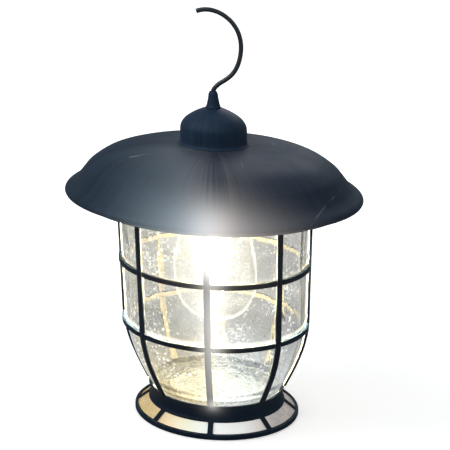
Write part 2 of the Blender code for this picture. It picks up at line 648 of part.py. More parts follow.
# ---- switch -----------------------------------------------------------------
def build_switch():
    case = bmesh.new()
    box(case, SWITCH_X - 5.5, SWITCH_X + 5.5, -8.0, 12.0,
        GALLERY_TOP_Z + GAP, GALLERY_TOP_Z + 9.0)
    body = finish(case, "switch_body", BAKELITE)
    cut(body, switch_opening(GALLERY_TOP_Z + 3.5), "cut_switch_well")

    slider = bmesh.new()
    half = KNOB_SIZE / 2
    box(slider, SWITCH_X - half, SWITCH_X + half, -half, half,
        GALLERY_Z - 3.6, GALLERY_TOP_Z + 2.8)
    knob = finish(slider, "switch_knob", RED)
    bevel = knob.modifiers.new("edge", 'BEVEL')
    bevel.width = 0.5 * MM
    bevel.segments = 2

    # The lead climbs inwards from the switch, levelling off as it goes
    path = [(72.3 - 0.5 * i, 2.0 + 0.25 * i, 176.5 + 0.9 * i - 0.02 * i * i)
            for i in range(0, 19, 3)]
    wire("switch_lead", path, LEAD_R, BLACK, 6)


build_foot_ring()
build_foot_pane()
build_seat()
build_globe()
build_cage()
build_hood()
build_crown()
build_finial()
build_pipe()
build_hook()
build_gallery()
build_battery()
build_battery_cover()
build_lampholder()
build_lead("lead_positive", 20, 85, RED)
build_lead("lead_negative", 200, 265, BLACK)
build_bulb()
build_bulb_cap()
build_filaments()
build_switch()
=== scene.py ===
"""A caged electric hand lantern: foot, eight-ribbed cage, seeded glass globe, spun hood and hook.

It stands on z = 0 with its axis on Z. The camera looks from -Y, and the hook lies in the XZ
plane. Shapes are given in millimetres and built in metres; shader lengths are in metres.
"""
import bmesh
import bpy
import json
import math
import random
from mathutils import Matrix, Vector, noise

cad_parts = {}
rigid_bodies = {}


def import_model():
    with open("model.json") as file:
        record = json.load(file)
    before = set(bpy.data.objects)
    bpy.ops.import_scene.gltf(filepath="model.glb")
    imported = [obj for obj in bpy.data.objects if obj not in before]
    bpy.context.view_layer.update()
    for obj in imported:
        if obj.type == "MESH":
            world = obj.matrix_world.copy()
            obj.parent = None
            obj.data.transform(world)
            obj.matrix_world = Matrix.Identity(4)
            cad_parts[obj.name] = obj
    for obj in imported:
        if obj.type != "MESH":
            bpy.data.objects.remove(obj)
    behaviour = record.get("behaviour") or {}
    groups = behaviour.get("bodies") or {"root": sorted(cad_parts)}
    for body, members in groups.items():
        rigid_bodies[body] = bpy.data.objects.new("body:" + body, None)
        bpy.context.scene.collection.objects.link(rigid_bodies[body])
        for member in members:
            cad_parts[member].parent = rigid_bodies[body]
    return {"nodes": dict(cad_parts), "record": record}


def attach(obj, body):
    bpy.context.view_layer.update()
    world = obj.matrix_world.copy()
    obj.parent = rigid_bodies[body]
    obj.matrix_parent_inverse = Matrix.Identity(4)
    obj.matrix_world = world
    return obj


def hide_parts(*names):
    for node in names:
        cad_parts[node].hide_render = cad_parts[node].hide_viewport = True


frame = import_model()
for name in ("Cube", "Light", "Camera"):
    if name in bpy.data.objects:
        bpy.data.objects.remove(bpy.data.objects[name], do_unlink=True)
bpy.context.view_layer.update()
MM = 0.001

# ------------------------------------------------------------------ dimensions (mm)
GAP = 0.3
HUB_BORE_R = 4.3            # radius of the central hole in hood, crown, gallery and holder
SHEET = 1.0

N_RIBS = 8
RIB_PITCH = 2 * math.pi / N_RIBS
RIB_W, RIB_T, RIB_LAP = 4.6, 2.3, 1.05
RIB_Z0 = 21.6
HOOP_H, HOOP_T = 3.7, 2.9
HOOP_UPPER_Z, HOOP_LOWER_Z = 119.0, 72.0
# (z, radius) of the cage's outside
CAGE = [(20.5, 52.3), (30.0, 57.0), (40.0, 61.6), (50.0, 65.5), (60.0, 68.3),
        (72.0, 70.2), (100.0, 71.0), (163.7, 72.7)]
CAGE_TOP_Z, CAGE_TOP_R = CAGE[-1]

GLASS_INSET, GLASS_WALL, GLASS_FLOOR, GLASS_Z0, GLASS_Z1 = 3.3, 2.4, 5.5, 15.3, 166.0

FOOT_R, FOOT_RIM_IN, COLLAR_Z = 62.3, 60.7, 21.3
FLANGE_IN, FLANGE_OUT, FLANGE_T = (51.3, 10.7), (60.6, 3.4), 1.0     # ends as (r, z)
WINDOW_R, SPOKE_W, PANE_T = (51.7, 60.0), 4.0, 1.3

# Outlines as (radius, z). The hood and crown run from the centre outward, or rim upward.
HOOD_TOP = [(24.6, 205.9), (45.0, 205.2), (63.6, 202.6), (78.2, 198.1),
            (89.9, 190.5), (94.9, 185.0), (98.2, 180.8), (100.8, 177.9), (103.8, 175.6),
            (106.8, 173.6), (108.5, 172.0), (109.0, 170.3), (108.4, 169.0)]
HOOD_TIP = (107.9, 169.9)
PAN = [(108.1, 168.8), (106.2, 168.2), (103.8, 167.3), (99.2, 164.7),
       (94.4, 162.7), (90.3, 162.0)]
PAN_TIP = (107.55, 169.75)
PAN_INNER_R, PAN_TOP_Z = 87.4, 170.6
CROWN = [(25.9, 206.2), (24.7, 207.3), (24.3, 209.4), (24.3, 216.0), (23.9, 219.6),
         (22.5, 222.5), (20.0, 225.3), (16.3, 227.9), (12.2, 230.2), (8.8, 231.7)]
CROWN_TOP_Z = 232.5
FINIAL_Z0, FINIAL_Z1 = 232.8, 244.6

HOOK_R = 1.65
# (x, z) of the hook's centre line, from its root to its tip
HOOK_PATH = [(0.0, 234.6), (0.0, 240.0), (0.0, 244.6), (1.5, 247.4), (4.6, 250.4),
             (8.9, 253.3), (13.2, 256.9), (16.6, 261.6), (18.9, 267.4), (20.2, 274.5),
             (20.1, 281.0), (18.7, 286.8), (16.3, 291.6), (12.5, 296.2), (6.8, 300.3),
             (0.8, 302.5), (-4.6, 303.0), (-9.0, 302.3), (-11.6, 301.4)]

# (radius, z) of the bulb's outside and of its glass stem, both upward
BULB = [(0.0, 72.5), (8.0, 73.2), (15.6, 76.1), (22.6, 81.5), (28.0, 89.3),
        (30.6, 97.5), (31.1, 105.0), (30.6, 116.0), (28.8, 128.5), (25.6, 141.5),
        (21.0, 153.0), (16.2, 161.5), (13.4, 166.0), (12.6, 168.1)]
BULB_WALL = 0.8
STEM = [(1.6, 108.6), (2.2, 111.0), (2.4, 140.0), (4.0, 150.0), (8.4, 160.0), (10.9, 166.4)]
STEM_HOLLOW = [(10.2, 166.4), (7.6, 160.2), (2.9, 150.2), (1.2, 140.0)]      # downward
CAP_R, CAP_Z0, CAP_Z1 = 12.9, 168.4, 188.0
THREAD_DEPTH, THREAD_PITCH = 0.84, 3.63
FILAMENT_TOP_Z, FILAMENT_LOW_Z = 146.0, 92.0
FILAMENT_TOP_R, FILAMENT_LOW_R = 5.2, 9.0       # distance of its ends from the axis


# ------------------------------------------------------------------ curves and outlines
def through(points, per_span):
    """A smooth curve through the points, with per_span steps from each to the next."""
    p = [Vector(q) for q in points]
    padded = [p[0] * 2 - p[1]] + p + [p[-1] * 2 - p[-2]]
    curve = []
    for a, b, c, d in zip(padded, padded[1:], padded[2:], padded[3:]):
        for step in range(per_span):
            t = step / per_span
            curve.append(0.5 * (2 * b + (c - a) * t + (2 * a - 5 * b + 4 * c - d) * t * t
                                + (3 * b - a - 3 * c + d) * t ** 3))
    curve.append(p[-1])
    return [tuple(q) for q in curve]


def offset(points, distance):
    """The open outline moved sideways, to the right of its direction."""
    moved = []
    for i, (x, y) in enumerate(points):
        before = points[max(i - 1, 0)]
        after = points[min(i + 1, len(points) - 1)]
        along = Vector((after[0] - before[0], after[1] - before[1])).normalized()
        moved.append((x + along[1] * distance, y - along[0] * distance))
    return moved


def rounded(outline, radius, closed=True, steps=4, sharp=24.0):
    """The outline with each corner that turns by sharp degrees or more rounded off."""
    out = []
    count = len(outline)
    for i, corner in enumerate(outline):
        corner = Vector(corner)
        if not closed and i in (0, count - 1):
            out.append(tuple(corner))
            continue
        back = Vector(outline[i - 1]) - corner
        ahead = Vector(outline[(i + 1) % count]) - corner
        if back.length < 1e-9 or ahead.length < 1e-9:
            continue
        if 180.0 - math.degrees(back.angle(ahead)) < sharp:
            out.append(tuple(corner))
            continue
        reach = min(radius, 0.45 * back.length, 0.45 * ahead.length)
        start = corner + back.normalized() * reach
        end = corner + ahead.normalized() * reach
        for k in range(steps + 1):
            t = k / steps
            out.append(tuple(start * (1 - t) ** 2 + corner * 2 * t * (1 - t) + end * t * t))
    return out


CAGE_FINE = through(CAGE, 24)


def cage_r(z):
    """Outer radius of the cage at height z."""
    if z <= CAGE_FINE[0][0]:
        return CAGE_FINE[0][1]
    for (z0, r0), (z1, r1) in zip(CAGE_FINE, CAGE_FINE[1:]):
        if z <= z1:
            return r0 + (r1 - r0) * (z - z0) / (z1 - z0)
    return CAGE_FINE[-1][1]


# ------------------------------------------------------------------ mesh helpers
def add_object(name, data):
    ob = bpy.data.objects.new(name, data)
    bpy.context.scene.collection.objects.link(ob)
    return ob


def settle(bm, me):
    """Turn the normals outward and write the bmesh to the mesh."""
    bmesh.ops.recalc_face_normals(bm, faces=bm.faces)
    bm.to_mesh(me)
    bm.free()
    return me


def mesh_from(name, verts, faces):
    me = bpy.data.meshes.new(name)
    me.from_pydata(verts, [], faces)
    bm = bmesh.new()
    bm.from_mesh(me)
    return settle(bm, me)


def publish(me, name, mat, body, node=None, smooth=35.0):
    """Make the mesh an object that rides a body and, if given, replaces a CAD node."""
    me.validate()
    me.shade_smooth()
    me.set_sharp_from_angle(angle=math.radians(smooth))
    ob = add_object(name, me)
    me.materials.append(mat)
    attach(ob, body)
    if node:
        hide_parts(node)
    return ob


def revolve(name, outline, mat, body, slot, node, segs=192, radius=0.35, smooth=35.0,
            warp=None):
    """Solid of revolution from an (r, z) outline, with its corners rounded.
    warp(r, angle, z, index) -> (r, z) moves single points."""
    closed = outline[0][0] > 0 or outline[-1][0] > 0
    profile = rounded(outline, radius, closed) if radius else outline
    rings, verts, faces = [], [], []
    for index, (r, z) in enumerate(profile):
        if r < 1e-6:
            rings.append([len(verts)])
            pole_z = warp(0.0, 0.0, z, index)[1] if warp else z
            verts.append((0.0, 0.0, pole_z * MM))
            continue
        rings.append(range(len(verts), len(verts) + segs))
        for i in range(segs):
            a = 2 * math.pi * i / segs
            rr, zz = warp(r, a, z, index) if warp else (r, z)
            verts.append((rr * math.cos(a) * MM, rr * math.sin(a) * MM, zz * MM))
    for A, B in zip(rings, rings[1:] + rings[:1] if closed else rings[1:]):
        if len(A) == 1 and len(B) == 1:
            continue
        for i in range(segs):
            k = (i + 1) % segs
            if len(A) == 1:
                faces.append((A[0], B[k], B[i]))
            elif len(B) == 1:
                faces.append((A[i], A[k], B[0]))
            else:
                faces.append((A[i], A[k], B[k], B[i]))
    return publish(mesh_from(name, verts, faces), name, mat, body, node, smooth)


def sweep(name, points, radius, mat, body, node=None, sides=20, domed=True):
    """Round bar along a path of 3-D points, its ends domed or flat."""
    path = [Vector(q) for q in points]
    radii = [radius] * len(path)
    if domed:
        for _ in range(2):      # the far end, then the near one with the path reversed
            base, outward = path[-1], (path[-1] - path[-2]).normalized()
            for k in range(1, 6):
                a = math.pi / 2 * k / 6
                path.append(base + outward * radius * math.sin(a))
                radii.append(radius * math.cos(a))
            path.reverse()
            radii.reverse()
    last = len(path) - 1
    side = Vector((0, 1, 0))
    rings, verts, faces = [], [], []
    for i, (centre, r) in enumerate(zip(path, radii)):
        along = (path[min(i + 1, last)] - path[max(i - 1, 0)]).normalized()
        side = (side - along * side.dot(along)).normalized()
        other = along.cross(side)
        rings.append(range(len(verts), len(verts) + sides))
        for k in range(sides):
            a = 2 * math.pi * k / sides
            verts.append((centre + (side * math.cos(a) + other * math.sin(a)) * r) * MM)
    for A, B in zip(rings, rings[1:]):
        for k in range(sides):
            j = (k + 1) % sides
            faces.append((A[k], A[j], B[j], B[k]))
    faces.append(tuple(rings[0][::-1]))
    faces.append(tuple(rings[-1]))
    return publish(mesh_from(name, verts, faces), name, mat, body, node, 50)


def solid_plan(bm, outline, z0, z1, spin=0.0):
    """Add an upright prism over an (x, y) outline, turned about Z."""
    turn = Matrix.Rotation(spin, 4, 'Z')
    low, high = [[bm.verts.new(turn @ Vector((x * MM, y * MM, z * MM))) for x, y in outline]
                 for z in (z0, z1)]
    bm.faces.new(low[::-1])
    bm.faces.new(high)
    for i in range(len(outline)):
        j = (i + 1) % len(outline)
        bm.faces.new((low[i], low[j], high[j], high[i]))


def apply_mods(ob):
    depsgraph = bpy.context.evaluated_depsgraph_get()
    me = bpy.data.meshes.new_from_object(ob.evaluated_get(depsgraph))
    ob.modifiers.clear()
    old = ob.data
    ob.data = me
    bpy.data.meshes.remove(old)
    me.shade_smooth()
    me.set_sharp_from_angle(angle=math.radians(40))


def bevel(ob, width):
    """Round the edges sharper than 40 degrees."""
    mod = ob.modifiers.new("edge", 'BEVEL')
    mod.width = width * MM
    mod.segments = 3
    mod.limit_method = 'ANGLE'
    mod.angle_limit = math.radians(40)
    apply_mods(ob)


def cut_away(ob, name, bm):
    """Subtract the closed shapes of the bmesh from the object."""
    tool = add_object(name, settle(bm, bpy.data.meshes.new(name)))
    mod = ob.modifiers.new(name, 'BOOLEAN')
    mod.operation = 'DIFFERENCE'
    mod.solver = 'EXACT'
    mod.object = tool
    apply_mods(ob)
    bpy.data.objects.remove(tool, do_unlink=True)


# ------------------------------------------------------------------ node helpers
class Tree:
    """The nodes of one material or world. Inputs take a value or another node's output."""

    def __init__(self, owner, output="OutputMaterial", coord="Object"):
        owner.use_nodes = True
        self.owner = owner
        self.tree = owner.node_tree
        self.tree.nodes.clear()
        self.output = self.node(output)
        self.coord = self.node("TexCoord").outputs[coord]

    def node(self, kind, sockets=None, **props):
        """A new node; sockets maps inputs to values, where None leaves the default."""
        made = self.tree.nodes.new("ShaderNode" + kind)
        for key, value in props.items():
            setattr(made, key, value)
        for key, value in (sockets or {}).items():
            if value is not None:
                self.put(made.inputs[key], value)
        return made

    def put(self, socket, value):
        if isinstance(value, bpy.types.NodeSocket):
            self.tree.links.new(value, socket)
        elif socket.type == 'RGBA':
            socket.default_value = (*value, 1.0)
        else:
            socket.default_value = value

    def done(self, shader):
        self.put(self.output.inputs["Surface"], shader)
        return self.owner

    # numbers and vectors
    def math(self, op, a, b=0.0, clamp=False):
        return self.node("Math", {0: a, 1: b}, operation=op, use_clamp=clamp).outputs[0]

    def mul(self, result, *factors):
        for factor in factors:
            result = self.math('MULTIPLY', result, factor)
        return result

    def add(self, a, b):
        return self.math('ADD', a, b)

    def sub(self, a, b):
        return self.math('SUBTRACT', a, b)

    def vector(self, op, a, b=None, scale=None):
        made = self.node("VectorMath", {0: a, 1: b, "Scale": scale}, operation=op)
        return made.outputs["Value" if op in ('DOT_PRODUCT', 'LENGTH') else "Vector"]

    def axes(self, vec):
        return self.node("SeparateXYZ", {0: vec}).outputs

    def ramp(self, value, span, to=(0.0, 1.0), smooth=False):
        """Map the span, given as (start, end), to another pair of values."""
        return self.node("MapRange", {"Value": value, "From Min": span[0], "From Max": span[1],
                                      "To Min": to[0], "To Max": to[1]},
                         interpolation_type='SMOOTHSTEP' if smooth else 'LINEAR'
                         ).outputs["Result"]

    def gauss(self, q):
        return self.math('EXPONENT', self.mul(q, q, -1.0))

    def bell(self, value, width, mid=0.0):
        return self.gauss(self.math('DIVIDE', self.sub(value, mid), width))

    def spot(self, across, height, at, size):
        """Soft spot; at and size are (across, height)."""
        return self.mul(self.bell(across, size[0], at[0]), self.bell(height, size[1], at[1]))

    # textures
    def noise(self, scale=1.0, detail=3.0, rough=0.5, twist=0.0, at=None):
        return self.node("TexNoise", {"Vector": self.coord if at is None else at,
                                      "Scale": scale, "Detail": detail, "Roughness": rough,
                                      "Distortion": twist}).outputs["Fac"]

    def mapping(self, scale=(1, 1, 1), rot=(0, 0, 0), loc=(0, 0, 0), at=None):
        return self.node("Mapping", {"Vector": self.coord if at is None else at, "Scale": scale,
                                     "Rotation": rot, "Location": loc}).outputs[0]

    def around(self, turn, rise):
        """Seamless coordinates round the axis: turn scales the angle, rise the height."""
        x, y, z = self.axes(self.coord)
        flat = self.node("CombineXYZ", {0: x, 1: y}).outputs[0]
        circle = self.vector('SCALE', self.vector('NORMALIZE', flat), scale=turn)
        height = self.node("CombineXYZ", {2: self.mul(z, rise)}).outputs[0]
        return self.vector('ADD', circle, height)

    def mix(self, fac, a, b, kind='MIX'):
        return self.node("Mix", {0: fac, 6: a, 7: b}, data_type='RGBA',
                         blend_type=kind).outputs[2]

    def bump(self, height, strength, distance, normal=None):
        return self.node("Bump", {"Strength": strength, "Distance": distance,
                                  "Height": height, "Normal": normal}).outputs[0]

    # shaders
    def principled(self, color, rough, normal=None, metal=0.0, spec=0.5, **more):
        sockets = {"Base Color": color, "Roughness": rough, "Metallic": metal,
                   "Specular IOR Level": spec, "Normal": normal}
        sockets.update({key.replace("_", " "): value for key, value in more.items()})
        return self.node("BsdfPrincipled", sockets).outputs[0]

    def emission(self, strength, color=None):
        return self.node("Emission", {"Color": color, "Strength": strength}).outputs[0]

    def add_light(self, shader, strength, color=None):
        return self.node("AddShader", {0: shader, 1: self.emission(strength, color)}).outputs[0]

    def mix_shader(self, fac, a, b):
        return self.node("MixShader", {0: fac, 1: a, 2: b}).outputs[0]

    def rays(self):
        return self.node("LightPath").outputs


def new_material(name):
    return Tree(bpy.data.materials.new(name))


# ------------------------------------------------------------------ light of the lamp
LAMP_COORDS = []        # texture coordinate nodes that are tied to the bulb once it is built


def sight(t):
    """Where the line of sight passes the lamp's axis: its signed distance, its height
    from the bulb's origin, and a mask of the points in front of the axis, seen level."""
    geometry = t.node("NewGeometry").outputs
    from_lamp = t.node("TexCoord")
    LAMP_COORDS.append(from_lamp)
    x, y, _ = t.axes(geometry["Position"])
    height = t.axes(from_lamp.outputs["Object"])[2]
    view_x, view_y, view_z = t.axes(geometry["Incoming"])
    flat_squared = t.math('MAXIMUM', t.add(t.mul(view_x, view_x), t.mul(view_y, view_y)), 1e-4)
    cross = t.sub(t.mul(x, view_y), t.mul(y, view_x))
    across = t.math('DIVIDE', cross, t.math('SQRT', flat_squared))
    back = t.math('DIVIDE', t.add(t.mul(x, view_x), t.mul(y, view_y)), flat_squared)
    z = t.sub(height, t.mul(back, view_z))
    level = t.ramp(t.math('ABSOLUTE', view_z), (0.78, 0.50), smooth=True)
    return across, z, t.mul(t.ramp(back, (0.0, 0.02)), level)


def halo(t, gain):
    """Strength and colour of the painted glare, a soft burst of glow over the hood's lower front.
    """
    across, z, ahead = sight(t)
    near = t.spot(across, z, at=(0.004, 0.134), size=(0.018, 0.029))
    low = t.spot(across, z, at=(0.002, 0.138), size=(0.050, 0.021))
    far = t.spot(across, z, at=(0.020, 0.165), size=(0.040, 0.042))
    total = t.add(t.add(t.mul(near, 1.05), t.mul(far, 0.28)), t.mul(low, 0.74))
    # dark streaks, drawn like paint drips, break up the painted glare near its top
    glare_streaks = t.ramp(t.noise(rough=0.6, at=t.around(turn=34.0, rise=2.5)),
                  (0.36, 0.62), to=(0.40, 1.0))
    glare_streaks = t.mul(glare_streaks, t.mul(t.bell(across, width=0.017, mid=-0.003),
                             t.ramp(z, (0.148, 0.190), smooth=True)))
    total = t.mul(total, t.sub(1.0, t.mul(glare_streaks, 0.85)))
    total = t.mul(t.mul(total, ahead), t.mul(t.rays()["Is Camera Ray"], gain))
    return total, t.mix(t.ramp(across, (-0.010, 0.045)), (1.0, 0.93, 0.88), (0.74, 0.90, 1.0))


def lamp_glow(t, gain, spread=1.0, foot=0.0):
    """Strength and colour of the lamp's light painted as glow, thrown forward, strongest along
    its column.
    spread is the share of its wide parts, foot the strength of a spot at its lower end."""
    across, z, ahead = sight(t)
    across = t.math('ABSOLUTE', t.sub(across, 0.003))
    core = t.mul(t.bell(across, width=0.0085), t.ramp(z, (0.092, 0.118), smooth=True),
                 t.ramp(z, (0.200, 0.172), smooth=True))
    tail = t.spot(across, z, at=(0.0, 0.075), size=(0.010, 0.050))
    if foot:
        streak = t.mul(t.bell(across, width=0.008), t.ramp(z, (-0.014, 0.014), smooth=True))
        tail = t.add(tail, t.mul(streak, t.mul(t.ramp(z, (0.10, 0.06)), 0.55)))
        end = t.spot(across, z, at=(0.0, 0.001), size=(0.0042, 0.0040))
        tail = t.add(tail, t.mul(end, foot))
    wide = t.spot(across, z, at=(0.0, 0.128), size=(0.032, 0.050))
    veil = t.spot(across, z, at=(0.0, 0.130), size=(0.065, 0.075))
    total = t.add(t.add(t.mul(core, 1.5), t.mul(tail, 0.46)),
                  t.add(t.mul(wide, 0.38 * spread), t.mul(veil, 0.16 * spread * spread)))
    total = t.mul(total, ahead, gain, t.rays()["Is Camera Ray"])
    return total, t.mix(t.ramp(across, (0.004, 0.030)), (1.0, 0.97, 0.92), (1.0, 0.92, 0.74))


# ------------------------------------------------------------------ paint
PAINT_DARK, PAINT_LIGHT = (0.0060, 0.0125, 0.0240), (0.0150, 0.0270, 0.0450)
# Families of fine scratches: (rotation, scale) of the noise each is drawn from
SCRATCH_GRAINS = (((0.3, 0.5, 0.6), (1500, 36, 36)),
                  ((0.9, -0.4, 2.1), (36, 1700, 30)),
                  ((1.9, 0.8, 0.2), (30, 30, 1800)))
# Single scratches on the hood: start, end and half width in mm, strength
HOOD_SCRATCHES = [
    ((-56.0, -39.2, 201.5), (-50.3, -38.9, 202.6), 0.55, 0.55),
    ((-50.3, -38.9, 202.6), (-42.2, -35.7, 204.0), 0.45, 0.45),
    ((91.7, -27.6, 183.9), (82.2, -55.4, 179.7), 0.34, 0.20),
    ((82.2, -55.4, 179.7), (71.8, -81.8, 171.2), 0.34, 0.20),
    ((21.9, -43.0, 204.9), (24.9, -57.3, 202.8), 0.35, 0.25),
    ((30.0, 52.0, 204.2), (41.0, 60.0, 200.8), 0.35, 0.28),
    ((-88.0, 20.0, 191.8), (-80.0, 44.0, 190.6), 0.35, 0.28)]


def times(factor, color):
    return tuple(factor * c for c in color)


def base_coat(t, cloud, streak, tone):
    """Streaks and runs along the profile over a cloudy ground."""
    dark, light = times(tone, PAINT_DARK), times(tone, PAINT_LIGHT)
    broad = t.noise(detail=4.0, rough=0.6, at=t.around(turn=16.0, rise=6.0))
    fine = t.noise(detail=2.0, at=t.around(turn=60.0, rise=16.0))
    blend = t.add(t.mul(broad, 0.40 * streak),
                  t.add(t.mul(fine, 0.20 * streak), t.mul(cloud, 1.0 - 0.5 * streak)))
    color = t.mix(t.ramp(blend, (0.34, 0.84), smooth=True), dark, light)
    runs = t.ramp(t.noise(detail=2.0, at=t.around(turn=90.0, rise=5.0)), (0.52, 0.68))
    return t.mix(t.mul(runs, 0.55 * streak), color, times(0.5, dark))


def dust_specks(t):
    speck = t.ramp(t.noise(scale=900.0, detail=2.0, rough=0.7), (0.66, 0.76))
    where = t.ramp(t.noise(scale=60.0, detail=2.0), (0.45, 0.7))
    return t.math('MULTIPLY', speck, where, clamp=True)


def lamp_side(t):
    """Mask of the faces turned to the axis, where the lamp's light is painted on."""
    geometry = t.node("NewGeometry").outputs
    inward = t.vector('MULTIPLY', geometry["Position"], (-1.0, -1.0, 0.0))
    facing = t.vector('DOT_PRODUCT', t.vector('NORMALIZE', inward), geometry["True Normal"])
    patches = t.noise(scale=45.0, rough=0.6)
    return t.mul(t.ramp(facing, (0.45, 0.8)), t.ramp(patches, (0.25, 0.65), to=(0.55, 1.0)))


def fine_scratches(t):
    marks = None
    for k, (rot, scale) in enumerate(SCRATCH_GRAINS):
        grain = t.mapping(rot=rot, scale=scale, loc=(0.3 * k, 0.1, 0.7 * k))
        lines = t.ramp(t.noise(detail=1.0, twist=0.15, at=grain), (0.745, 0.785))
        marks = lines if marks is None else t.math('MAXIMUM', marks, lines)
    patches = t.noise(scale=22.0, detail=2.0, at=t.mapping(loc=(0.4, 0.2, 0.1)))
    return t.math('MULTIPLY', marks, t.ramp(patches, (0.50, 0.64)), clamp=True)


def scratch(t, color, start, end, half_width, strength):
    """One scratch, measured along the surface from the line between its ends."""
    start, end = Vector(start) * MM, Vector(end) * MM
    run = end - start
    offset_from_start = t.vector('SUBTRACT', t.coord, start)
    share = t.vector('DOT_PRODUCT', offset_from_start, run / run.length_squared)
    along = t.math('ADD', share, 0.0, clamp=True)
    gap = t.vector('SUBTRACT', offset_from_start, t.vector('SCALE', run, scale=along))
    normal = t.node("NewGeometry").outputs["True Normal"]
    on_surface = t.vector('SUBTRACT', gap, t.vector('PROJECT', gap, normal))
    wobble = t.mul(t.sub(t.noise(scale=160.0, detail=2.0), 0.5), 0.0016)
    away = t.math('ABSOLUTE', t.add(t.vector('LENGTH', on_surface), wobble))
    line = t.ramp(away, (half_width * MM, half_width * 0.3 * MM))
    broken = t.ramp(t.noise(scale=260.0, detail=2.0), (0.32, 0.60), to=(0.25, 1.0))
    near = t.ramp(t.vector('LENGTH', gap), (0.0060, 0.0045))
    return t.mix(t.mul(line, broken, near, strength), color, (0.34, 0.36, 0.38))


def rubbed_edges(t):
    soft = t.node("Bevel", {"Radius": 0.0006}, samples=4).outputs[0]
    normal = t.node("NewGeometry").outputs["Normal"]
    edge = t.ramp(t.vector('DOT_PRODUCT', soft, normal), (0.985, 0.90))
    patches = t.ramp(t.noise(scale=120.0, detail=4.0, rough=0.65), (0.50, 0.66))
    return t.math('MULTIPLY', edge, patches, clamp=True)


def paint(name, streak=1.0, tone=1.0, dust=1.0, wear=0.0, spec=0.16, tint=(0.62, 0.82, 1.0),
          painted_lamp_light=None, scratches=(), glare=0.0, burst=0.0):
    """Matt blue-black paint on steel. painted_lamp_light is the painted light colour of the side
    turned to the lamp, glare the lamp's light painted as glow over it, burst the painted glare
    over the hood."""
    t = new_material(name)
    cloud = t.noise(scale=28.0, detail=4.0, rough=0.6)
    color = base_coat(t, cloud, streak, tone)
    color = t.mix(t.mul(dust_specks(t), 0.30 * dust), color, (0.08, 0.10, 0.12))
    # painted light: the faces turned to the lamp take a pale lit colour
    if painted_lamp_light:
        turned = lamp_side(t)
        color = t.mix(turned, color, painted_lamp_light)
    marks = fine_scratches(t)
    color = t.mix(t.mul(marks, 0.22 * dust), color, (0.11, 0.13, 0.15))
    for mark in scratches:
        color = scratch(t, color, *mark)
    rough = t.sub(t.ramp(cloud, (0.3, 0.75), to=(0.46, 0.62)), t.mul(marks, 0.10))
    if wear:
        color = t.mix(t.mul(rubbed_edges(t), wear), color, (0.10, 0.10, 0.10))
    skin = t.bump(t.noise(scale=1500.0, rough=0.6), strength=0.25, distance=0.00012)
    skin = t.bump(t.noise(scale=90.0), strength=0.10, distance=0.0008, normal=skin)
    skin = t.bump(marks, strength=-0.25, distance=0.0002, normal=skin)
    shader = t.principled(color, rough, skin, spec=spec, Specular_Tint=tint)
    if painted_lamp_light:
        # painted light: those faces also glow where they are seen through the glass
        lit = t.mul(turned, t.rays()["Is Transmission Ray"], 0.66)
        shader = t.add_light(shader, lit, (1.0, 0.80, 0.52))
    if glare:
        strength, glow_color = lamp_glow(t, glare, spread=0.18, foot=0.9)
        # the foot's flange, below the collar, stays dark
        above = t.ramp(t.axes(t.coord)[2], (0.009, 0.019), to=(0.15, 1.0), smooth=True)
        shader = t.add_light(shader, t.mul(strength, above), glow_color)
    if burst:
        shader = t.add_light(shader, *halo(t, burst))
    return t.done(shader)


# ------------------------------------------------------------------ glass
def glass_shader(t, tint, shadow, rim, haze, ior=1.5, normal=None):
    """Clear glass that lets direct light through. shadow tints that light, rim is the painted
    glow its edges carry, haze the painted glow of a dust film on it. Returns the shader,
    the light path's outputs and a mask of the rays that see the glow."""
    clear = t.node("BsdfGlass", {"IOR": ior, "Roughness": 0.0, "Color": tint,
                                 "Normal": normal}).outputs[0]
    open_way = t.node("BsdfTransparent", {"Color": shadow}).outputs[0]
    rays = t.rays()
    passing = t.math('MAXIMUM', rays["Is Shadow Ray"], rays["Is Diffuse Ray"])
    shader = t.mix_shader(passing, clear, open_way)
    facing = t.node("LayerWeight", {"Blend": 0.5}).outputs["Facing"]
    edge = t.ramp(facing, (0.62, 0.97), smooth=True)
    lit_film = t.mul(t.ramp(t.noise(scale=70.0, rough=0.6), (0.35, 0.72)),
                 t.ramp(t.noise(scale=600.0, detail=2.0, rough=0.6), (0.30, 0.62),
                        to=(0.55, 1.3)))
    amount = t.add(t.mul(edge, rim), t.mul(lit_film, haze))
    seen = t.math('MAXIMUM', rays["Is Camera Ray"], rays["Is Transmission Ray"])
    return t.add_light(shader, t.mul(amount, seen), (1.0, 0.97, 0.88)), rays, seen


def clear_glass(name, **look):
    t = new_material(name)
    return t.done(glass_shader(t, **look)[0])


def floor_pool(t, x, z, seen):
    """Painted light pooled in the thick floor and in the turn of the wall above it."""
    low = t.ramp(z, (0.058, 0.026), smooth=True)
    curl = t.noise(scale=120.0, rough=0.6, twist=2.5)
    pool = t.mul(low, t.ramp(curl, (0.34, 0.62), to=(0.03, 0.20)))
    side = t.ramp(x, (-0.022, 0.016), smooth=True)
    return t.mul(pool, seen), t.mix(side, (1.0, 0.80, 0.42), (0.86, 0.94, 1.0))


def seed_glints(t, seen):
    """Painted glints where seeds and water marks on the skin of the glass catch light, in
    clusters.
    """
    jitter = t.node("TexNoise", {"Scale": 420.0, "Vector": t.coord}).outputs["Color"]
    at = t.vector('ADD', t.coord, t.vector('SCALE', jitter, scale=0.0022))

    def dots(scale, size, herd_at, herd_scale, herd_span):
        cell = t.node("TexVoronoi", {"Vector": at, "Scale": scale}).outputs["Distance"]
        herd = t.noise(scale=herd_scale, rough=0.6, at=t.mapping(loc=herd_at))
        return t.mul(t.ramp(cell, size), t.ramp(herd, herd_span))

    big = dots(scale=260.0, size=(0.34, 0.20), herd_at=(0.31, 0.12, 0.27),
               herd_scale=26.0, herd_span=(0.50, 0.66))
    small = dots(scale=560.0, size=(0.36, 0.22), herd_at=(0.07, 0.55, 0.91),
                 herd_scale=19.0, herd_span=(0.44, 0.64))
    return t.mul(t.add(t.mul(big, 0.78), t.mul(small, 0.30)), seen), (1.0, 0.98, 0.93)


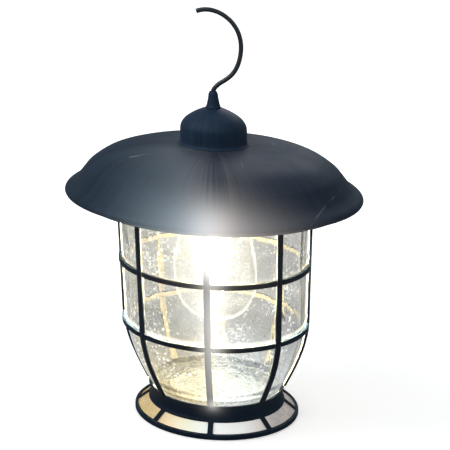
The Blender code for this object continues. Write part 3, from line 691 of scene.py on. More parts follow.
def hoop_mirror(t, z, camera, hoop_z, gain):
    """A painted reflection of the lit hoop in the glass just above it."""
    band = t.mul(t.ramp(z, ((hoop_z + 1.2) * MM, (hoop_z + 2.0) * MM)),
                 t.ramp(z, ((hoop_z + 5.2) * MM, (hoop_z + 3.2) * MM)))
    ragged = t.ramp(t.noise(scale=140.0, rough=0.6), (0.30, 0.62), to=(0.45, 1.0))
    return t.mul(t.mul(band, ragged), t.mul(camera, gain)), (1.0, 0.97, 0.86)


def low_cone(t, camera):
    """Painted glow of curling light that widens downward below the lamp."""
    across, z, ahead = sight(t)
    reach = t.ramp(z, (0.066, 0.0), to=(0.007, 0.034))
    cone = t.gauss(t.math('DIVIDE', across, reach))
    cone = t.mul(cone, t.mul(t.ramp(z, (0.066, 0.040), smooth=True),
                             t.ramp(z, (-0.012, 0.004), smooth=True)))
    curls = t.noise(scale=130.0, detail=2.0, twist=3.0, at=t.mapping(scale=(1.0, 1.0, 1.8)))
    curls = t.ramp(curls, (0.38, 0.60), to=(0.12, 1.0))
    color = t.mix(t.ramp(across, (-0.003, 0.004), smooth=True),
                  (0.88, 0.94, 1.0), (1.0, 0.78, 0.36))
    return t.mul(t.mul(cone, curls), t.mul(ahead, camera, 0.33)), color


def globe_glass():
    """Seeded glass with slow waves, and painted glow for the lamp's light thrown forward by its
    dust and seeds.
    """
    t = new_material("globe_glass")
    waves = 0.45            # strength of all the waves together
    slow = t.noise(detail=2.0, rough=0.45, twist=0.6, at=t.around(turn=5.0, rise=16.0))
    quick = t.noise(detail=2.0, twist=0.3, at=t.around(turn=26.0, rise=20.0))
    fine = t.noise(scale=240.0, detail=2.0)
    normal = t.bump(slow, strength=0.26 * waves, distance=0.0016)
    normal = t.bump(quick, strength=0.13 * waves, distance=0.0004, normal=normal)
    normal = t.bump(fine, strength=0.08 * waves, distance=0.00012, normal=normal)
    shader, rays, seen = glass_shader(t, tint=(0.962, 0.972, 0.955), shadow=(0.93, 0.95, 0.92),
                                      rim=0.22, haze=0.02, normal=normal)
    x, _, z = t.axes(t.coord)
    camera = rays["Is Camera Ray"]
    for strength, color in (floor_pool(t, x, z, seen),
                            seed_glints(t, seen),
                            hoop_mirror(t, z, camera, HOOP_LOWER_Z, gain=0.70),
                            hoop_mirror(t, z, camera, HOOP_UPPER_Z, gain=0.16),
                            low_cone(t, camera),
                            lamp_glow(t, gain=1.0)):
        shader = t.add_light(shader, strength, color)
    return t.done(shader)


# (place, colour) of the painted light across the opal panes, from -X to +X
OPAL_PAINTED_LIGHT = [(0.0, (0.58, 0.41, 0.17)), (0.14, (0.82, 0.64, 0.38)),
              (0.30, (0.78, 0.77, 0.56)), (0.50, (0.92, 0.94, 0.92)),
              (0.84, (0.90, 0.89, 0.86)), (0.95, (0.72, 0.66, 0.62)),
              (1.0, (0.40, 0.36, 0.34))]


def opal(name):
    """Opal glass with painted light: warm on the -X side, whiter in front, darker towards the
    back, and a faint painted glow.
    """
    t = new_material(name)
    x, y, _ = t.axes(t.coord)
    tones = t.node("ValToRGB", {0: t.ramp(x, (-0.055, 0.050), smooth=True)})
    stops = tones.color_ramp.elements
    for place, _ in OPAL_PAINTED_LIGHT[1:-1]:
        stops.new(place)
    for stop, (_, color) in zip(stops, OPAL_PAINTED_LIGHT):
        stop.color = (*color, 1)
    tone = tones.outputs[0]
    mottle = t.noise(scale=110.0, detail=4.0, rough=0.6, twist=0.8)
    color = t.mix(t.ramp(mottle, (0.35, 0.75)), tone, t.mix(0.22, tone, (0.95, 0.80, 0.62)))
    # painted shade: darker towards the back (+Y)
    color = t.mix(1.0, color, t.ramp(y, (0.0, 0.055), to=(1.0, 0.72)), 'MULTIPLY')
    normal = t.bump(t.noise(scale=160.0), strength=0.25, distance=0.0005)
    # the emission is a painted glow; the panes are no lamp
    return t.done(t.principled(color, t.ramp(mottle, (0.3, 0.8), to=(0.22, 0.36)), normal,
                               Emission_Color=color, Emission_Strength=0.40))


# ------------------------------------------------------------------ plain materials
def metal(name, color, rough=(0.25, 0.4), grain=400.0, dirt=(0.2, 0.19, 0.17), amount=0.35):
    """Bare metal; rough is its range, grain its noise scale, amount the share of dirt."""
    t = new_material(name)
    fine = t.noise(scale=grain, rough=0.6)
    patches = t.noise(scale=70.0, detail=4.0, rough=0.6)
    color = t.mix(t.mul(t.ramp(patches, (0.45, 0.75)), amount), color, dirt)
    normal = t.bump(fine, strength=0.15, distance=0.0001)
    both = t.add(t.mul(fine, 0.5), t.mul(patches, 0.5))
    return t.done(t.principled(color, t.ramp(both, (0.35, 0.65), to=rough), normal, metal=1.0))


def dull(name, color, rough=(0.45, 0.6), grain=1200.0, depth=0.00012, spec=0.4, second=None):
    """Enamel, rubber or moulding; depth is its grain's height, second its patches' colour."""
    t = new_material(name)
    fine = t.noise(scale=grain, rough=0.6)
    patches = t.noise(scale=60.0, detail=4.0, rough=0.6)
    other = second or tuple(min(1.0, c * 1.5 + 0.01) for c in color)
    color = t.mix(t.mul(t.ramp(patches, (0.4, 0.75)), 0.5), color, other)
    normal = t.bump(fine, strength=0.3, distance=depth)
    return t.done(t.principled(color, t.ramp(fine, (0.3, 0.7), to=rough), normal, spec=spec))


def filament_glow(name):
    t = new_material(name)
    bands = t.noise(detail=1.0, at=t.mapping(scale=(1, 1, 400)))
    color = t.mix(t.ramp(bands, (0.3, 0.7)), (1.0, 0.80, 0.48), (1.0, 0.88, 0.66))
    return t.done(t.emission(22.0, color))


M_HOOD = paint("paint_hood", burst=0.40, scratches=HOOD_SCRATCHES)
# painted light: the crown takes the hood's paint drawn 1.45 times lighter
M_CROWN = paint("paint_crown", tone=1.45)
# painted light: the cage's faces turned to the lamp take a pale lit colour, and the lamp's glare
# is painted over cage and foot
M_CAGE = paint("paint_cage", streak=0.25, tone=0.85, dust=0.7, wear=0.45, spec=0.14,
               tint=(1.0, 0.97, 0.90), painted_lamp_light=(0.340, 0.285, 0.190), glare=0.95)
M_FOOT = paint("paint_foot", streak=0.4, tone=0.9, dust=0.8, wear=0.45, spec=0.14, glare=0.7)
M_GLOBE = globe_glass()
# the rim and film values draw painted glow on the glass of the seeds, bulb and stem
M_SEED = clear_glass("seed_air", tint=(1, 1, 1), shadow=(1, 1, 1), ior=1 / 1.5,
                     rim=0.9, haze=0.55)
BULB_LOOK = dict(tint=(0.99, 0.985, 0.97), shadow=(0.98, 0.975, 0.95), ior=1.45)
M_BULB = clear_glass("bulb_glass", rim=0.78, haze=0.10, **BULB_LOOK)
M_STEM = clear_glass("stem_glass", rim=0.5, haze=0.8, **BULB_LOOK)
M_OPAL = opal("opal_panes")
M_ENAMEL = dull("white_enamel", (0.70, 0.69, 0.65), rough=(0.22, 0.34), grain=500.0,
                depth=0.00008, spec=0.5, second=(0.62, 0.60, 0.54))
M_ZINC = metal("zinc", (0.58, 0.58, 0.56))
M_SEAT = dull("bright_plate", (0.78, 0.76, 0.70), rough=(0.32, 0.48), grain=600.0,
              depth=0.00008, spec=0.5, second=(0.70, 0.68, 0.64))
M_HOOK = metal("hook_steel", (0.075, 0.08, 0.085), rough=(0.38, 0.55), grain=700.0,
               dirt=(0.16, 0.15, 0.14), amount=0.5)
M_BRASS = metal("brass", (0.66, 0.46, 0.20), rough=(0.22, 0.38), grain=300.0,
                dirt=(0.30, 0.20, 0.10))
M_NICKEL = metal("nickel", (0.66, 0.64, 0.60), rough=(0.16, 0.30))
M_RUBBER = dull("rubber", (0.022, 0.022, 0.022), rough=(0.65, 0.85))
M_BLACK = dull("black_moulding", (0.016, 0.016, 0.018))
M_GREY = dull("grey_moulding", (0.13, 0.13, 0.14))
M_CELL = dull("cell_sleeve", (0.06, 0.12, 0.08), rough=(0.25, 0.35), grain=500.0,
              depth=0.00004, spec=0.5, second=(0.07, 0.14, 0.10))
M_RED = dull("red_moulding", (0.42, 0.03, 0.02), rough=(0.35, 0.5))
M_GLOW = filament_glow("filament_glow")

BY_SLOT = {"black_paint": M_CAGE, "hook_steel": M_HOOK, "zinc_plate": M_ZINC,
           "gasket_rubber": M_RUBBER, "seeded_glass": M_GLOBE, "bulb_glass": M_BULB,
           "opal_glass": M_OPAL, "white_enamel": M_ENAMEL, "grey_plastic": M_GREY,
           "cell_jacket": M_CELL, "nickel_plate": M_NICKEL, "brass": M_BRASS,
           "black_plastic": M_BLACK, "filament": M_GLOW, "red_plastic": M_RED}
SLOT = {part["node"]: part["material_slot"] for part in frame["record"]["subparts"]}
BODY = {node: body for body, nodes in frame["record"]["behaviour"]["bodies"].items()
        for node in nodes}
for name, ob in frame["nodes"].items():
    ob.data.materials.clear()
    ob.data.materials.append(BY_SLOT[SLOT[name]])


def spun(node, outline, mat, **options):
    """A turned piece that takes the place of the CAD node."""
    return revolve(node + "_fine", outline, mat, BODY[node], SLOT[node], node, **options)


# ------------------------------------------------------------------ hood, crown, finial
def hood_warp(r, a, z, index):
    """Hand-spun unevenness: a few tenths of a millimetre, fading at the rim."""
    fade = max(0.0, 1.0 - abs(r - 62.0) / 46.0)
    wave = noise.noise(Vector((math.cos(a) * 1.7, math.sin(a) * 1.7, r * 0.02)))
    return r, z + 0.45 * fade * wave


def build_hood():
    top = [(HUB_BORE_R, 205.9), (14.0, 205.9)] + through(HOOD_TOP, 10)
    under = offset(top, SHEET)
    under[-1] = HOOD_TIP
    spun("hood_shell", top + under[::-1], M_HOOD, segs=256, warp=hood_warp)

    lip = through(PAN, 8) + [(88.4, 162.3), (PAN_INNER_R, 163.4), (PAN_INNER_R, PAN_TOP_Z)]
    back = offset(lip, SHEET)
    back[0] = PAN_TIP
    spun("hood_pan", lip + back[::-1], M_HOOD, segs=256, radius=0.3)


def build_crown():
    cap = [(HUB_BORE_R, CROWN_TOP_Z), (6.8, CROWN_TOP_Z)] + through(CROWN, 8)[::-1]
    under = offset(cap, SHEET)
    under[-1] = (cap[-1][0] - SHEET, cap[-1][1])
    spun("crown_cap", cap + under[::-1], M_CROWN, segs=160)

    z0, z1 = FINIAL_Z0, FINIAL_Z1
    neck = through([(5.5, z0 + 0.5), (4.9, z0 + 1.8), (4.5, z0 + 3.5), (4.1, z0 + 5.4),
                    (3.7, z0 + 7.5), (3.4, z0 + 9.9), (3.0, z1 - 1.0), (2.6, z1)], 6)
    bore = [(2.1, z1), (2.1, 236.9), (3.8, 236.9)]
    spun("finial", [(3.8, z0), (5.6, z0)] + neck + bore, M_CROWN, segs=96)
    spun("lamp_pipe", [(2.75, 195.2), (4.0, 195.2), (4.0, 232.2), (3.5, 232.2),
                       (3.5, 236.6), (2.75, 236.6)], M_ZINC, segs=64, radius=0.2)


def build_hook():
    # the bar stops one step short of the path's end
    path = [(x, 0.0, z) for x, z in through(HOOK_PATH, 8)][:-1]
    sweep("hook_fine", path, HOOK_R, M_HOOK, BODY["hook"], "hook",
          sides=28, domed=False)
    spun("hook_collar", [(1.95, 235.0), (2.45, 235.0), (2.45, 236.6), (1.95, 236.6)],
         M_ZINC, segs=48, radius=0.15)


build_hood()
build_crown()
build_hook()


# ------------------------------------------------------------------ cage
def rib_outline(steps=56):
    """(r, z) outline of a rib, its inside cut back where it laps over each hoop."""
    stations = [RIB_Z0 + (CAGE_TOP_Z - RIB_Z0) * i / steps for i in range(steps + 1)]
    laps = [(z - HOOP_H / 2 - GAP, z + HOOP_H / 2 + GAP) for z in (HOOP_UPPER_Z, HOOP_LOWER_Z)]
    levels = [(z, None) for z in stations
              if all(abs(z - end) > 0.8 and not (lap[0] < z < lap[1])
                     for lap in laps for end in lap)]
    levels += [(lap[1], lap) for lap in laps]
    inside = []
    for z, lap in sorted(levels, key=lambda level: -level[0]):
        if lap is None:
            inside.append((cage_r(z) - RIB_T, z))
        else:
            low, high = lap
            for at, depth in ((high, RIB_T), (high, RIB_LAP), (low, RIB_LAP), (low, RIB_T)):
                inside.append((cage_r(at) - depth, at))
    return [(cage_r(z), z) for z in stations] + inside


def build_rib(k, outline):
    bm = bmesh.new()
    low, high = [[bm.verts.new((r * MM, side * RIB_W / 2 * MM, z * MM)) for r, z in outline]
                 for side in (-1, 1)]
    bm.faces.new(low)
    bm.faces.new(high[::-1])
    for i in range(len(outline)):
        j = (i + 1) % len(outline)
        bm.faces.new((low[i], high[i], high[j], low[j]))
    bmesh.ops.transform(bm, matrix=Matrix.Rotation(2 * math.pi * k / N_RIBS, 4, 'Z'),
                        verts=bm.verts)
    node = "cage_rib_%d" % (k + 1)
    ob = publish(settle(bm, bpy.data.meshes.new("rib")), node + "_fine", M_CAGE, "cage",
                 node)
    bevel(ob, 0.5)


def build_hoop(node, centre_z):
    """A square-section hoop, notched on its outside where each rib laps over it."""
    outer_r = cage_r(centre_z)
    inner_r, notch_r = outer_r - HOOP_T, outer_r - RIB_LAP - GAP - 0.15
    half = math.asin((RIB_W / 2 + GAP) / notch_r)
    step_out = half + 0.004
    plan = []           # (angle, outer radius) round the hoop
    for k in range(N_RIBS):
        mid = RIB_PITCH * k
        plan += [(mid + half * share, notch_r) for share in (-1, -0.5, 0, 0.5, 1)]
        plan.append((mid + step_out, outer_r))
        start, end = mid + step_out, mid + RIB_PITCH - step_out
        plan += [(start + (end - start) * i / 22, outer_r) for i in range(1, 23)]
    bm = bmesh.new()
    z0, z1 = (centre_z - HOOP_H / 2) * MM, (centre_z + HOOP_H / 2) * MM
    sections = []
    for a, r in plan:
        x, y = math.cos(a) * MM, math.sin(a) * MM
        corners = ((r, z0), (r, z1), (inner_r, z1), (inner_r, z0))
        sections.append([bm.verts.new((rr * x, rr * y, z)) for rr, z in corners])
    for a, b in zip(sections, sections[1:] + sections[:1]):
        for i in range(4):
            j = (i + 1) % 4
            bm.faces.new((a[i], b[i], b[j], a[j]))
    ob = publish(settle(bm, bpy.data.meshes.new(node)), node + "_fine", M_CAGE, "cage",
                 node)
    bevel(ob, 0.45)


RIB = rib_outline()
for k in range(N_RIBS):
    build_rib(k, RIB)
build_hoop("cage_hoop_upper", HOOP_UPPER_Z)
build_hoop("cage_hoop_lower", HOOP_LOWER_Z)
spun("cage_top_ring", [(69.8, 164.0), (CAGE_TOP_R, 164.0), (CAGE_TOP_R, 169.0), (69.8, 169.0)],
     M_CAGE, segs=224, radius=0.5)


# ------------------------------------------------------------------ foot
def under_flange(r, depth):
    """Point at radius r on the plane of the sloping flange, depth below its top."""
    slope = (Vector(FLANGE_OUT) - Vector(FLANGE_IN)).normalized()
    base = Vector(FLANGE_IN) - Vector((-slope[1], slope[0])) * depth
    return (r, base[1] + slope[1] * (r - base[0]) / slope[0])


def window_outline():
    """(x, y) plan of one window between two spokes."""
    points = []
    for r, order in ((WINDOW_R[1], 1), (WINDOW_R[0], -1)):
        start = math.asin(SPOKE_W / 2 / r)
        arc = [start + (RIB_PITCH - 2 * start) * i / 24 for i in range(25)]
        points += [(r * math.cos(a), r * math.sin(a)) for a in arc[::order]]
    return rounded(points, 0.9, steps=5, sharp=40)


def build_foot():
    cove = through([FLANGE_IN, (50.6, 11.9), (50.2, 14.5), (50.4, 17.5), (51.4, 20.4)], 6)
    profile = ([(FOOT_RIM_IN, 0.0), (FOOT_R, 0.0), (FOOT_R, 2.8), (FOOT_R - 0.5, 3.6),
                FLANGE_OUT] + cove
               + [(51.3, COLLAR_Z), (49.2, COLLAR_Z), (49.2, 12.4), (49.8, 11.0),
                  under_flange(51.0, FLANGE_T), under_flange(FOOT_RIM_IN, FLANGE_T)])
    foot = spun("foot_ring", profile, M_FOOT, segs=240, radius=0.5)
    window = window_outline()
    cutter = bmesh.new()
    for k in range(N_RIBS):
        solid_plan(cutter, window, 1.0, 14.0, RIB_PITCH * k)
    cut_away(foot, "windows", cutter)

    pane_top = FLANGE_T + GAP
    spun("foot_pane_ring", [under_flange(51.0, pane_top), under_flange(60.3, pane_top),
                            under_flange(60.3, pane_top + PANE_T),
                            under_flange(51.0, pane_top + PANE_T)], M_OPAL, segs=224)
    spun("foot_plate", [(0, 2.0), (56.0, 2.0), (56.0, 3.2), (0, 3.2)], M_ZINC,
         segs=160, radius=0.3)
    spun("glass_seat", [(0, 10.9), (40.0, 10.9), (40.0, 3.5), (45.0, 3.5), (45.0, 10.7),
                        (48.8, 10.7), (48.8, 12.7), (0, 12.7)], M_SEAT, segs=160, radius=0.4)
    spun("seat_gasket", [(36.0, 13.0), (45.6, 13.0), (45.6, 15.0), (36.0, 15.0)], M_RUBBER,
         segs=160, radius=0.5)


build_foot()


# ------------------------------------------------------------------ globe
def globe_r(z):
    """Outer radius of the globe's wall."""
    if z < 30:
        t = (z - 22.5) / 7.5
        return 49.3 + (cage_r(30) - GLASS_INSET - 49.3) * (t * 0.95 + 0.05 * t * t)
    return cage_r(z) - GLASS_INSET


def build_globe():
    base = [(0.0, GLASS_Z0 + 0.9), (30.0, GLASS_Z0 + 0.7), (40.0, GLASS_Z0),
            (45.0, GLASS_Z0 + 0.6), (47.2, 18.2), (48.7, 21.3), (49.3, 22.5)]
    levels = [24 + (GLASS_Z1 - 0.8 - 24) * (i / 60) for i in range(61)]
    outer = through(base, 8) + [(globe_r(z), z) for z in levels]
    inner = [(globe_r(z) - GLASS_WALL, z) for z in reversed(levels) if z > 31]
    floor_z = GLASS_Z0 + GLASS_FLOOR
    inner_floor = through([(49.9, 29.0), (46.6, 24.2), (41.0, floor_z + 0.8),
                           (24.0, floor_z + 0.6), (0.0, floor_z + 2.0)], 12)
    top_r = outer[-1][0]
    rim = [(top_r - 0.8, GLASS_Z1), (top_r - GLASS_WALL + 0.8, GLASS_Z1)]

    def warp(r, a, z, index):
        """Uneven outside, wavier inside, ripples in the floor."""
        x, y = math.cos(a), math.sin(a)
        if index < len(outer):
            return r + 0.10 * noise.noise(Vector((x * 3.0, y * 3.0, z * 0.020))), z
        if r > 47 and z > 26:
            slow = noise.noise(Vector((x * 4.6 + 9, y * 4.6, z * 0.022)))
            quick = noise.noise(Vector((x * 12.0, y * 12.0 + 5, z * 0.05)))
            fade = min(1.0, (z - 26) / 12.0)
            return r - 0.12 + (0.30 * slow + 0.10 * quick) * fade, z
        ripple = 0.34 * math.sin(2 * math.pi * r / 6.4) * min(1.0, r / 10.0)
        wave = noise.noise(Vector((r * x * 0.07, r * y * 0.07, 3.0)))
        fade = max(0.0, min(1.0, (44 - r) / 6.0))
        return r, z + (ripple + 0.9 * wave) * fade

    revolve("glass_globe_fine", outer + rim + inner + inner_floor, M_GLOBE, "cage",
            "seeded_glass", "glass_globe", segs=256, radius=0.0, smooth=60, warp=warp)


N_SEEDS, N_LOOSE_SEEDS = 560, 230
# (angle in degrees, z, spread of angle, spread of z) of the clusters of seeds
SEED_CLUSTERS = [(-52, 84, 8, 11), (-57, 98, 6, 7), (-124, 98, 7, 6), (-122, 112, 5, 9),
                 (-48, 150, 7, 8), (-78, 60, 9, 6), (-100, 132, 8, 8), (48, 92, 10, 10),
                 (130, 80, 12, 9), (20, 130, 9, 9), (160, 120, 10, 9)]


def build_seeds():
    """Small air bubbles held in the glass wall: some scattered, the rest in clusters."""
    rnd = random.Random(11)
    ball = bmesh.new()
    bmesh.ops.create_icosphere(ball, subdivisions=2, radius=1.0)
    ball_verts = [v.co.copy() for v in ball.verts]
    ball_faces = [[v.index for v in f.verts] for f in ball.faces]
    ball.free()
    verts, faces, placed = [], [], []
    tries = 0
    while len(placed) < N_SEEDS:
        tries += 1
        if len(placed) < N_LOOSE_SEEDS:
            z = rnd.uniform(27, 162)
            a = rnd.uniform(0, 2 * math.pi)
            density = noise.noise(Vector((math.cos(a) * 1.6, math.sin(a) * 1.6, z * 0.03)))
            if density < rnd.uniform(-0.6, 0.5):
                continue
        else:
            mid_a, mid_z, spread_a, spread_z = SEED_CLUSTERS[tries % len(SEED_CLUSTERS)]
            z = min(162, max(27, rnd.gauss(mid_z, spread_z * 0.75)))
            a = math.radians(rnd.gauss(mid_a, spread_a * 0.75))
        size = 0.26 + 0.44 * rnd.random() ** 2.0
        r = globe_r(z) - 1.25 + rnd.uniform(-0.2, 0.2)
        centre = Vector((r * math.cos(a), r * math.sin(a), z))
        if any((centre - other).length < 1.5 for other in placed):
            continue
        placed.append(centre)
        radial = Vector((math.cos(a), math.sin(a), 0))
        tangent = Vector((-math.sin(a), math.cos(a), 0))
        up = Vector((0, 0, 1))
        first = len(verts)
        stretch = rnd.uniform(1.0, 1.7)
        for v in ball_verts:
            verts.append((centre + radial * v.x * size * 0.85 + tangent * v.y * size
                          + up * v.z * size * stretch) * MM)
        faces += [[first + i for i in face] for face in ball_faces]
    me = bpy.data.meshes.new("seeds")
    me.from_pydata(verts, [], faces)
    publish(me, "glass_globe_seeds", M_SEED, "cage", smooth=180)


build_globe()
build_seeds()


# ------------------------------------------------------------------ lamp
def build_bulb():
    skin = [BULB[0]] + through(BULB[1:], 8)
    hollow = offset(skin, -BULB_WALL)
    hollow[0] = (0.0, BULB[0][1] + BULB_WALL)
    hollow[-1] = (BULB[-1][0] - BULB_WALL, BULB[-1][1])
    spun("bulb_glass", skin + hollow[::-1], M_BULB, segs=160, radius=0.0, smooth=60)
    stem = [(0, 108.0)] + through(STEM, 8) + through(STEM_HOLLOW, 6) + [(0, 138.6)]
    spun("bulb_stem", stem, M_STEM, segs=64, radius=0.0, smooth=60)


def thread_warp(r, a, z, index):
    """Screw thread round the cap's wall."""
    if r > 12.2 and CAP_Z0 + 1.5 < z < CAP_Z1 - 2.6:
        half = THREAD_DEPTH / 2
        return r - half + half * math.cos(a - 2 * math.pi * z / THREAD_PITCH), z
    return r, z


def build_cap():
    z0, z1 = CAP_Z0, CAP_Z1
    wall = [(CAP_R - 0.02, z0 + 0.4 + (z1 - 2.2 - z0) * i / 44) for i in range(45)]
    cap = ([(11.9, z0), (CAP_R - 0.2, z0)] + wall
           + [(11.4, z1), (9.3, z1), (9.3, z1 - 0.7), (11.0, z1 - 0.7), (11.9, z1 - 1.9)])
    spun("bulb_cap", cap, M_NICKEL, segs=120, radius=0.0, warp=thread_warp, smooth=60)
    spun("bulb_insulator", [(0, z1 + 0.3), (9.9, z1 + 0.3), (9.6, z1 + 1.2), (5.2, z1 + 3.2),
                            (0, z1 + 3.2)], M_BLACK, segs=64)
    spun("bulb_contact", [(0, z1 + 3.5), (4.7, z1 + 3.5), (4.5, z1 + 4.3), (2.6, z1 + 4.9),
                          (0, z1 + 4.9)], M_NICKEL, segs=64)


def build_filament(number):
    """One glowing rod with a wire to each of its ends."""
    a = math.pi / 2 * (number - 1) + math.pi / 4

    def at(r, z):
        return Vector((r * math.cos(a), r * math.sin(a), z))

    top, low = at(FILAMENT_TOP_R, FILAMENT_TOP_Z), at(FILAMENT_LOW_R, FILAMENT_LOW_Z)
    along = (low - top).normalized()
    start, end = top + along * 0.8, low - along * 0.8
    node = "bulb_filament_%d" % number
    sweep(node + "_fine", [start.lerp(end, i / 12) for i in range(13)], 0.78, M_GLOW, "lamp",
          node, sides=16)
    # (tag, start, end, rise of the middle)
    for tag, start, end, rise in (
            ("top", at(2.6, FILAMENT_TOP_Z + 5.0), top + along * 0.2, 1.2),
            ("low", at(1.9, 112.0), low - along * 0.2, -9.0)):
        middle = start.lerp(end, 0.5) + Vector((0, 0, rise))
        sweep("filament_wire_%s_%d" % (tag, number), through([start, middle, end], 8), 0.22,
              M_NICKEL, "lamp", sides=8)


build_bulb()
build_cap()
for number in range(1, 5):
    build_filament(number)
BULB_OBJECT = bpy.data.objects["bulb_glass_fine"]
for coords in LAMP_COORDS:
    coords.object = BULB_OBJECT


# ------------------------------------------------------------------ under the hood
def build_gallery():
    """Enamelled plate: a deep cup with a flat brim, one slot through the brim."""
    brim_r, brim_z = 87.2, 171.0
    cup_r, cup_z, wall = 62.0, 200.7, 1.2
    brim_top = brim_z + wall
    outline = [(HUB_BORE_R, cup_z), (cup_r - 2.0, cup_z), (cup_r, cup_z - 2.0),
               (cup_r, brim_top + 1.0), (cup_r + 1.0, brim_top), (brim_r, brim_top),
               (brim_r, brim_z), (cup_r + 0.2, brim_z), (cup_r - wall, brim_z + 1.4),
               (cup_r - wall, cup_z - wall - 0.8), (cup_r - wall - 0.8, cup_z - wall),
               (HUB_BORE_R, cup_z - wall)]
    plate = spun("gallery_plate", outline, M_ENAMEL, segs=192, radius=0.4)
    x0, x1, y0, y1 = 79 - 2.4, 79 + 2.4, -2.4, 6.4
    slot = bmesh.new()
    solid_plan(slot, [(x0, y0), (x1, y0), (x1, y1), (x0, y1)], brim_z - 1, brim_top + 1)
    cut_away(plate, "slot", slot)
    spun("gallery_gasket", [(70.0, 169.3), (72.5, 169.3), (72.5, 170.7), (70.0, 170.7)],
         M_RUBBER, segs=192, radius=0.3)
    spun("glass_top_gasket", [(66.8, 166.3), (69.2, 166.3), (69.2, 170.7), (66.8, 170.7)],
         M_RUBBER, segs=192, radius=0.4)


def build_lampholder():
    spun("lampholder_body", [(14.5, 168.0), (17.2, 168.0), (18.0, 168.8), (18.0, 196.7),
                             (15.5, 199.2), (HUB_BORE_R, 199.2), (HUB_BORE_R, 195.0),
                             (13.5, 195.0), (14.5, 194.0)], M_BLACK, segs=96, radius=0.4)
    spun("lampholder_shell", [(13.4, 169.2), (14.1, 169.2), (14.1, 192.0), (9.0, 192.0),
                              (9.0, 191.3), (13.4, 191.3)], M_BRASS, segs=96, radius=0.15)


build_gallery()
build_lampholder()


# ------------------------------------------------------------------ floor and world
def room_tones(t, at):
    """What glass shows of the room: warm grey towards -X, lavender grey towards +X."""
    side = t.ramp(t.axes(at)[0], (-0.42, 0.42), smooth=True)
    color = t.mix(side, (0.262, 0.254, 0.178), (0.318, 0.302, 0.395))
    blotches = t.noise(scale=9.0, detail=4.0, rough=0.62, twist=0.8, at=t.mapping(at=at))
    return t.mix(t.ramp(blotches, (0.36, 0.70)), color, t.mix(0.55, color, (0.80, 0.80, 0.84)))


def floor_paper():
    """Pale paper for the camera, room tones through glass, a darker grey for other rays."""
    t = new_material("floor_paper")
    color = t.mix(t.ramp(t.noise(scale=3.0), (0.3, 0.7)),
                  (0.88, 0.86, 0.835), (0.92, 0.90, 0.875))
    paper = t.principled(color, rough=0.9, spec=0.05)
    lift = t.ramp(t.vector('LENGTH', t.coord), (0.12, 0.60), to=(0.46, 0.66), smooth=True)
    seen = t.add_light(paper, lift)
    through_glass = t.emission(1.0, room_tones(t, t.coord))
    shade = t.node("BsdfDiffuse", {"Color": (0.30, 0.32, 0.36)}).outputs[0]
    rays = t.rays()
    shader = t.mix_shader(rays["Is Camera Ray"], shade, seen)
    return t.done(t.mix_shader(rays["Is Transmission Ray"], shader, through_glass))


def build_floor(half=8, z=-0.0003):
    me = bpy.data.meshes.new("floor")
    me.from_pydata([(-half, -half, z), (half, -half, z), (half, half, z), (-half, half, z)],
                   [], [(0, 1, 2, 3)])
    floor = add_object("floor", me)
    me.materials.append(floor_paper())


def build_world():
    """A soft sky that looks different to each kind of ray."""
    world = bpy.data.worlds.new("studio")
    bpy.context.scene.world = world
    t = Tree(world, output="OutputWorld", coord="Generated")

    def sky(color, strength):
        return t.node("Background", {"Color": color, "Strength": strength}).outputs[0]

    rays = t.rays()
    shader = sky((0.90, 0.95, 1.0), strength=0.55)
    tones = room_tones(t, t.mapping(scale=(0.45, 0.45, 0.45)))
    for ray, other in (("Is Glossy Ray", sky((0.70, 0.86, 1.0), strength=0.34)),
                       ("Is Transmission Ray", sky(tones, strength=1.0)),
                       ("Is Camera Ray", sky((1.0, 1.0, 1.0), strength=1.0))):
        shader = t.mix_shader(rays[ray], shader, other)
    t.done(shader)


build_floor()
build_world()


# ------------------------------------------------------------------ lights
def area(name, loc, target, size, power, color=(1, 1, 1)):
    """Disk light at loc turned to target, in metres and watts."""
    data = bpy.data.lights.new(name, 'AREA')
    data.shape = 'DISK'
    data.size = size
    data.energy = power
    data.color = color
    light = add_object(name, data)
    light.location = loc
    aim = Vector(target) - Vector(loc)
    light.rotation_euler = aim.to_track_quat('-Z', 'Y').to_euler()
    return light


def only(light, prefixes, mode='INCLUDE'):
    """The light reaches just the pieces named so, or with EXCLUDE all but these."""
    reach = bpy.data.collections.new(light.name + "_reach")
    for ob in bpy.data.objects:
        if ob.type in ('MESH', 'CURVE') and ob.name.startswith(prefixes):
            reach.objects.link(ob)
    light.light_linking.receiver_collection = reach
    for item in reach.collection_objects:
        item.light_linking.link_state = mode


area("key", loc=(-0.85, -0.35, 1.15), target=(0, 0, 0.15), size=0.9, power=8.0,
     color=(0.88, 0.95, 1.0))
area("fill", loc=(0.95, -0.9, 0.75), target=(0, 0, 0.12), size=0.9, power=1.0,
     color=(0.9, 0.95, 1.0))
front = area("front", loc=(-0.30, -0.62, 0.72), target=(-0.01, -0.09, 0.185), size=0.30,
             power=1.6, color=(0.9, 0.95, 1.0))
only(front, ("hood_shell", "hood_pan", "crown_cap", "finial"))
area("rim", loc=(0.2, 1.1, 0.9), target=(0, 0, 0.15), size=0.8, power=3.0)

# The lamp's own light, a short column between the filaments: tag, watts, pieces, mode
LAMP_HEIGHTS = (0.098, 0.119, 0.140)
LAMP_LIGHTS = (
    ("strong", 13.0, ("cage_rib", "cage_hoop", "cage_top_ring"), 'INCLUDE'),
    ("seat", 7.0, ("glass_seat", "seat_gasket"), 'INCLUDE'),
    ("weak", 0.45, ("cage_", "hood_", "crown_", "finial", "hook", "floor", "glass_seat",
                    "seat_gasket"), 'EXCLUDE'))


def lamp_light(name, z, power, prefixes, mode):
    data = bpy.data.lights.new(name, 'POINT')
    data.energy = power
    data.color = (1.0, 0.86, 0.64)
    data.shadow_soft_size = 0.008
    light = add_object(name, data)
    light.location = (0, 0, z)
    only(light, prefixes, mode)
    light.visible_camera = False
    light.visible_transmission = False
    return light


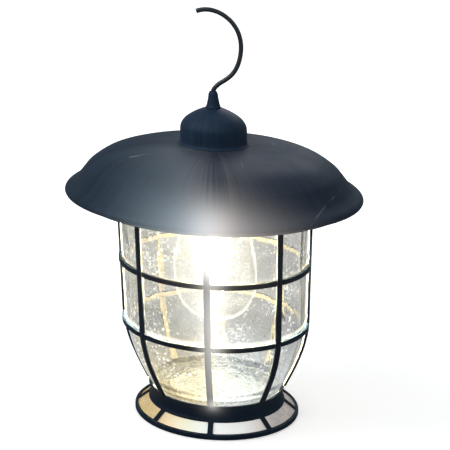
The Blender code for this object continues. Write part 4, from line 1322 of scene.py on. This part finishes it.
lamps = [lamp_light("lamp_%s_%d" % (tag, k), z, power, prefixes, mode)
         for k, z in enumerate(LAMP_HEIGHTS) for tag, power, prefixes, mode in LAMP_LIGHTS]
bpy.context.view_layer.update()
for light in lamps:
    light.parent = BULB_OBJECT
    light.matrix_parent_inverse = BULB_OBJECT.matrix_world.inverted()

# ------------------------------------------------------------------ camera
CAM_TURN, CAM_PITCH, CAM_YAW = (math.radians(v) for v in (5.0, 15.688, 0.436))
CAM_DISTANCE, CAM_HEIGHT = 0.9995, 0.4256       # metres from the axis, metres above z = 0
SENSOR_W, LENS = 36.0, 112.344                  # mm
SKEW_X, SKEW_Y = 0.00967, 0.04215               # lean of its up axis and of its right axis


def build_camera():
    """A pinhole camera; the skew of its axes sits in its parent inverse matrix."""
    spin = Matrix.Rotation(CAM_TURN, 3, 'Z')
    forward = spin @ Vector((math.sin(CAM_YAW) * math.cos(CAM_PITCH),
                             math.cos(CAM_YAW) * math.cos(CAM_PITCH), -math.sin(CAM_PITCH)))
    right = spin @ Vector((math.cos(CAM_YAW), -math.sin(CAM_YAW), 0))
    up = right.cross(forward)
    pose = Matrix((right + up * SKEW_Y, up + right * SKEW_X, -forward)).transposed().to_4x4()
    pose.translation = spin @ Vector((0, -CAM_DISTANCE, CAM_HEIGHT))
    data = bpy.data.cameras.new("camera")
    data.sensor_width = SENSOR_W
    data.lens = LENS
    data.clip_start = 0.01
    camera = add_object("camera", data)
    camera.parent = add_object("camera_stand", None)
    camera.matrix_parent_inverse = pose
    bpy.context.scene.camera = camera
    bpy.context.view_layer.update()


build_camera()

# ------------------------------------------------------------------ render settings
view = bpy.context.scene.view_settings
view.view_transform = 'Standard'
view.look = 'None'
view.exposure = 0.0
view.gamma = 1.0
cycles = bpy.context.scene.cycles
cycles.max_bounces = 16
cycles.transmission_bounces = 14
cycles.transparent_max_bounces = 16
cycles.glossy_bounces = 6
cycles.diffuse_bounces = 3
cycles.sample_clamp_indirect = 4.0
cycles.caustics_reflective = False
cycles.caustics_refractive = False
cycles.use_denoising = True
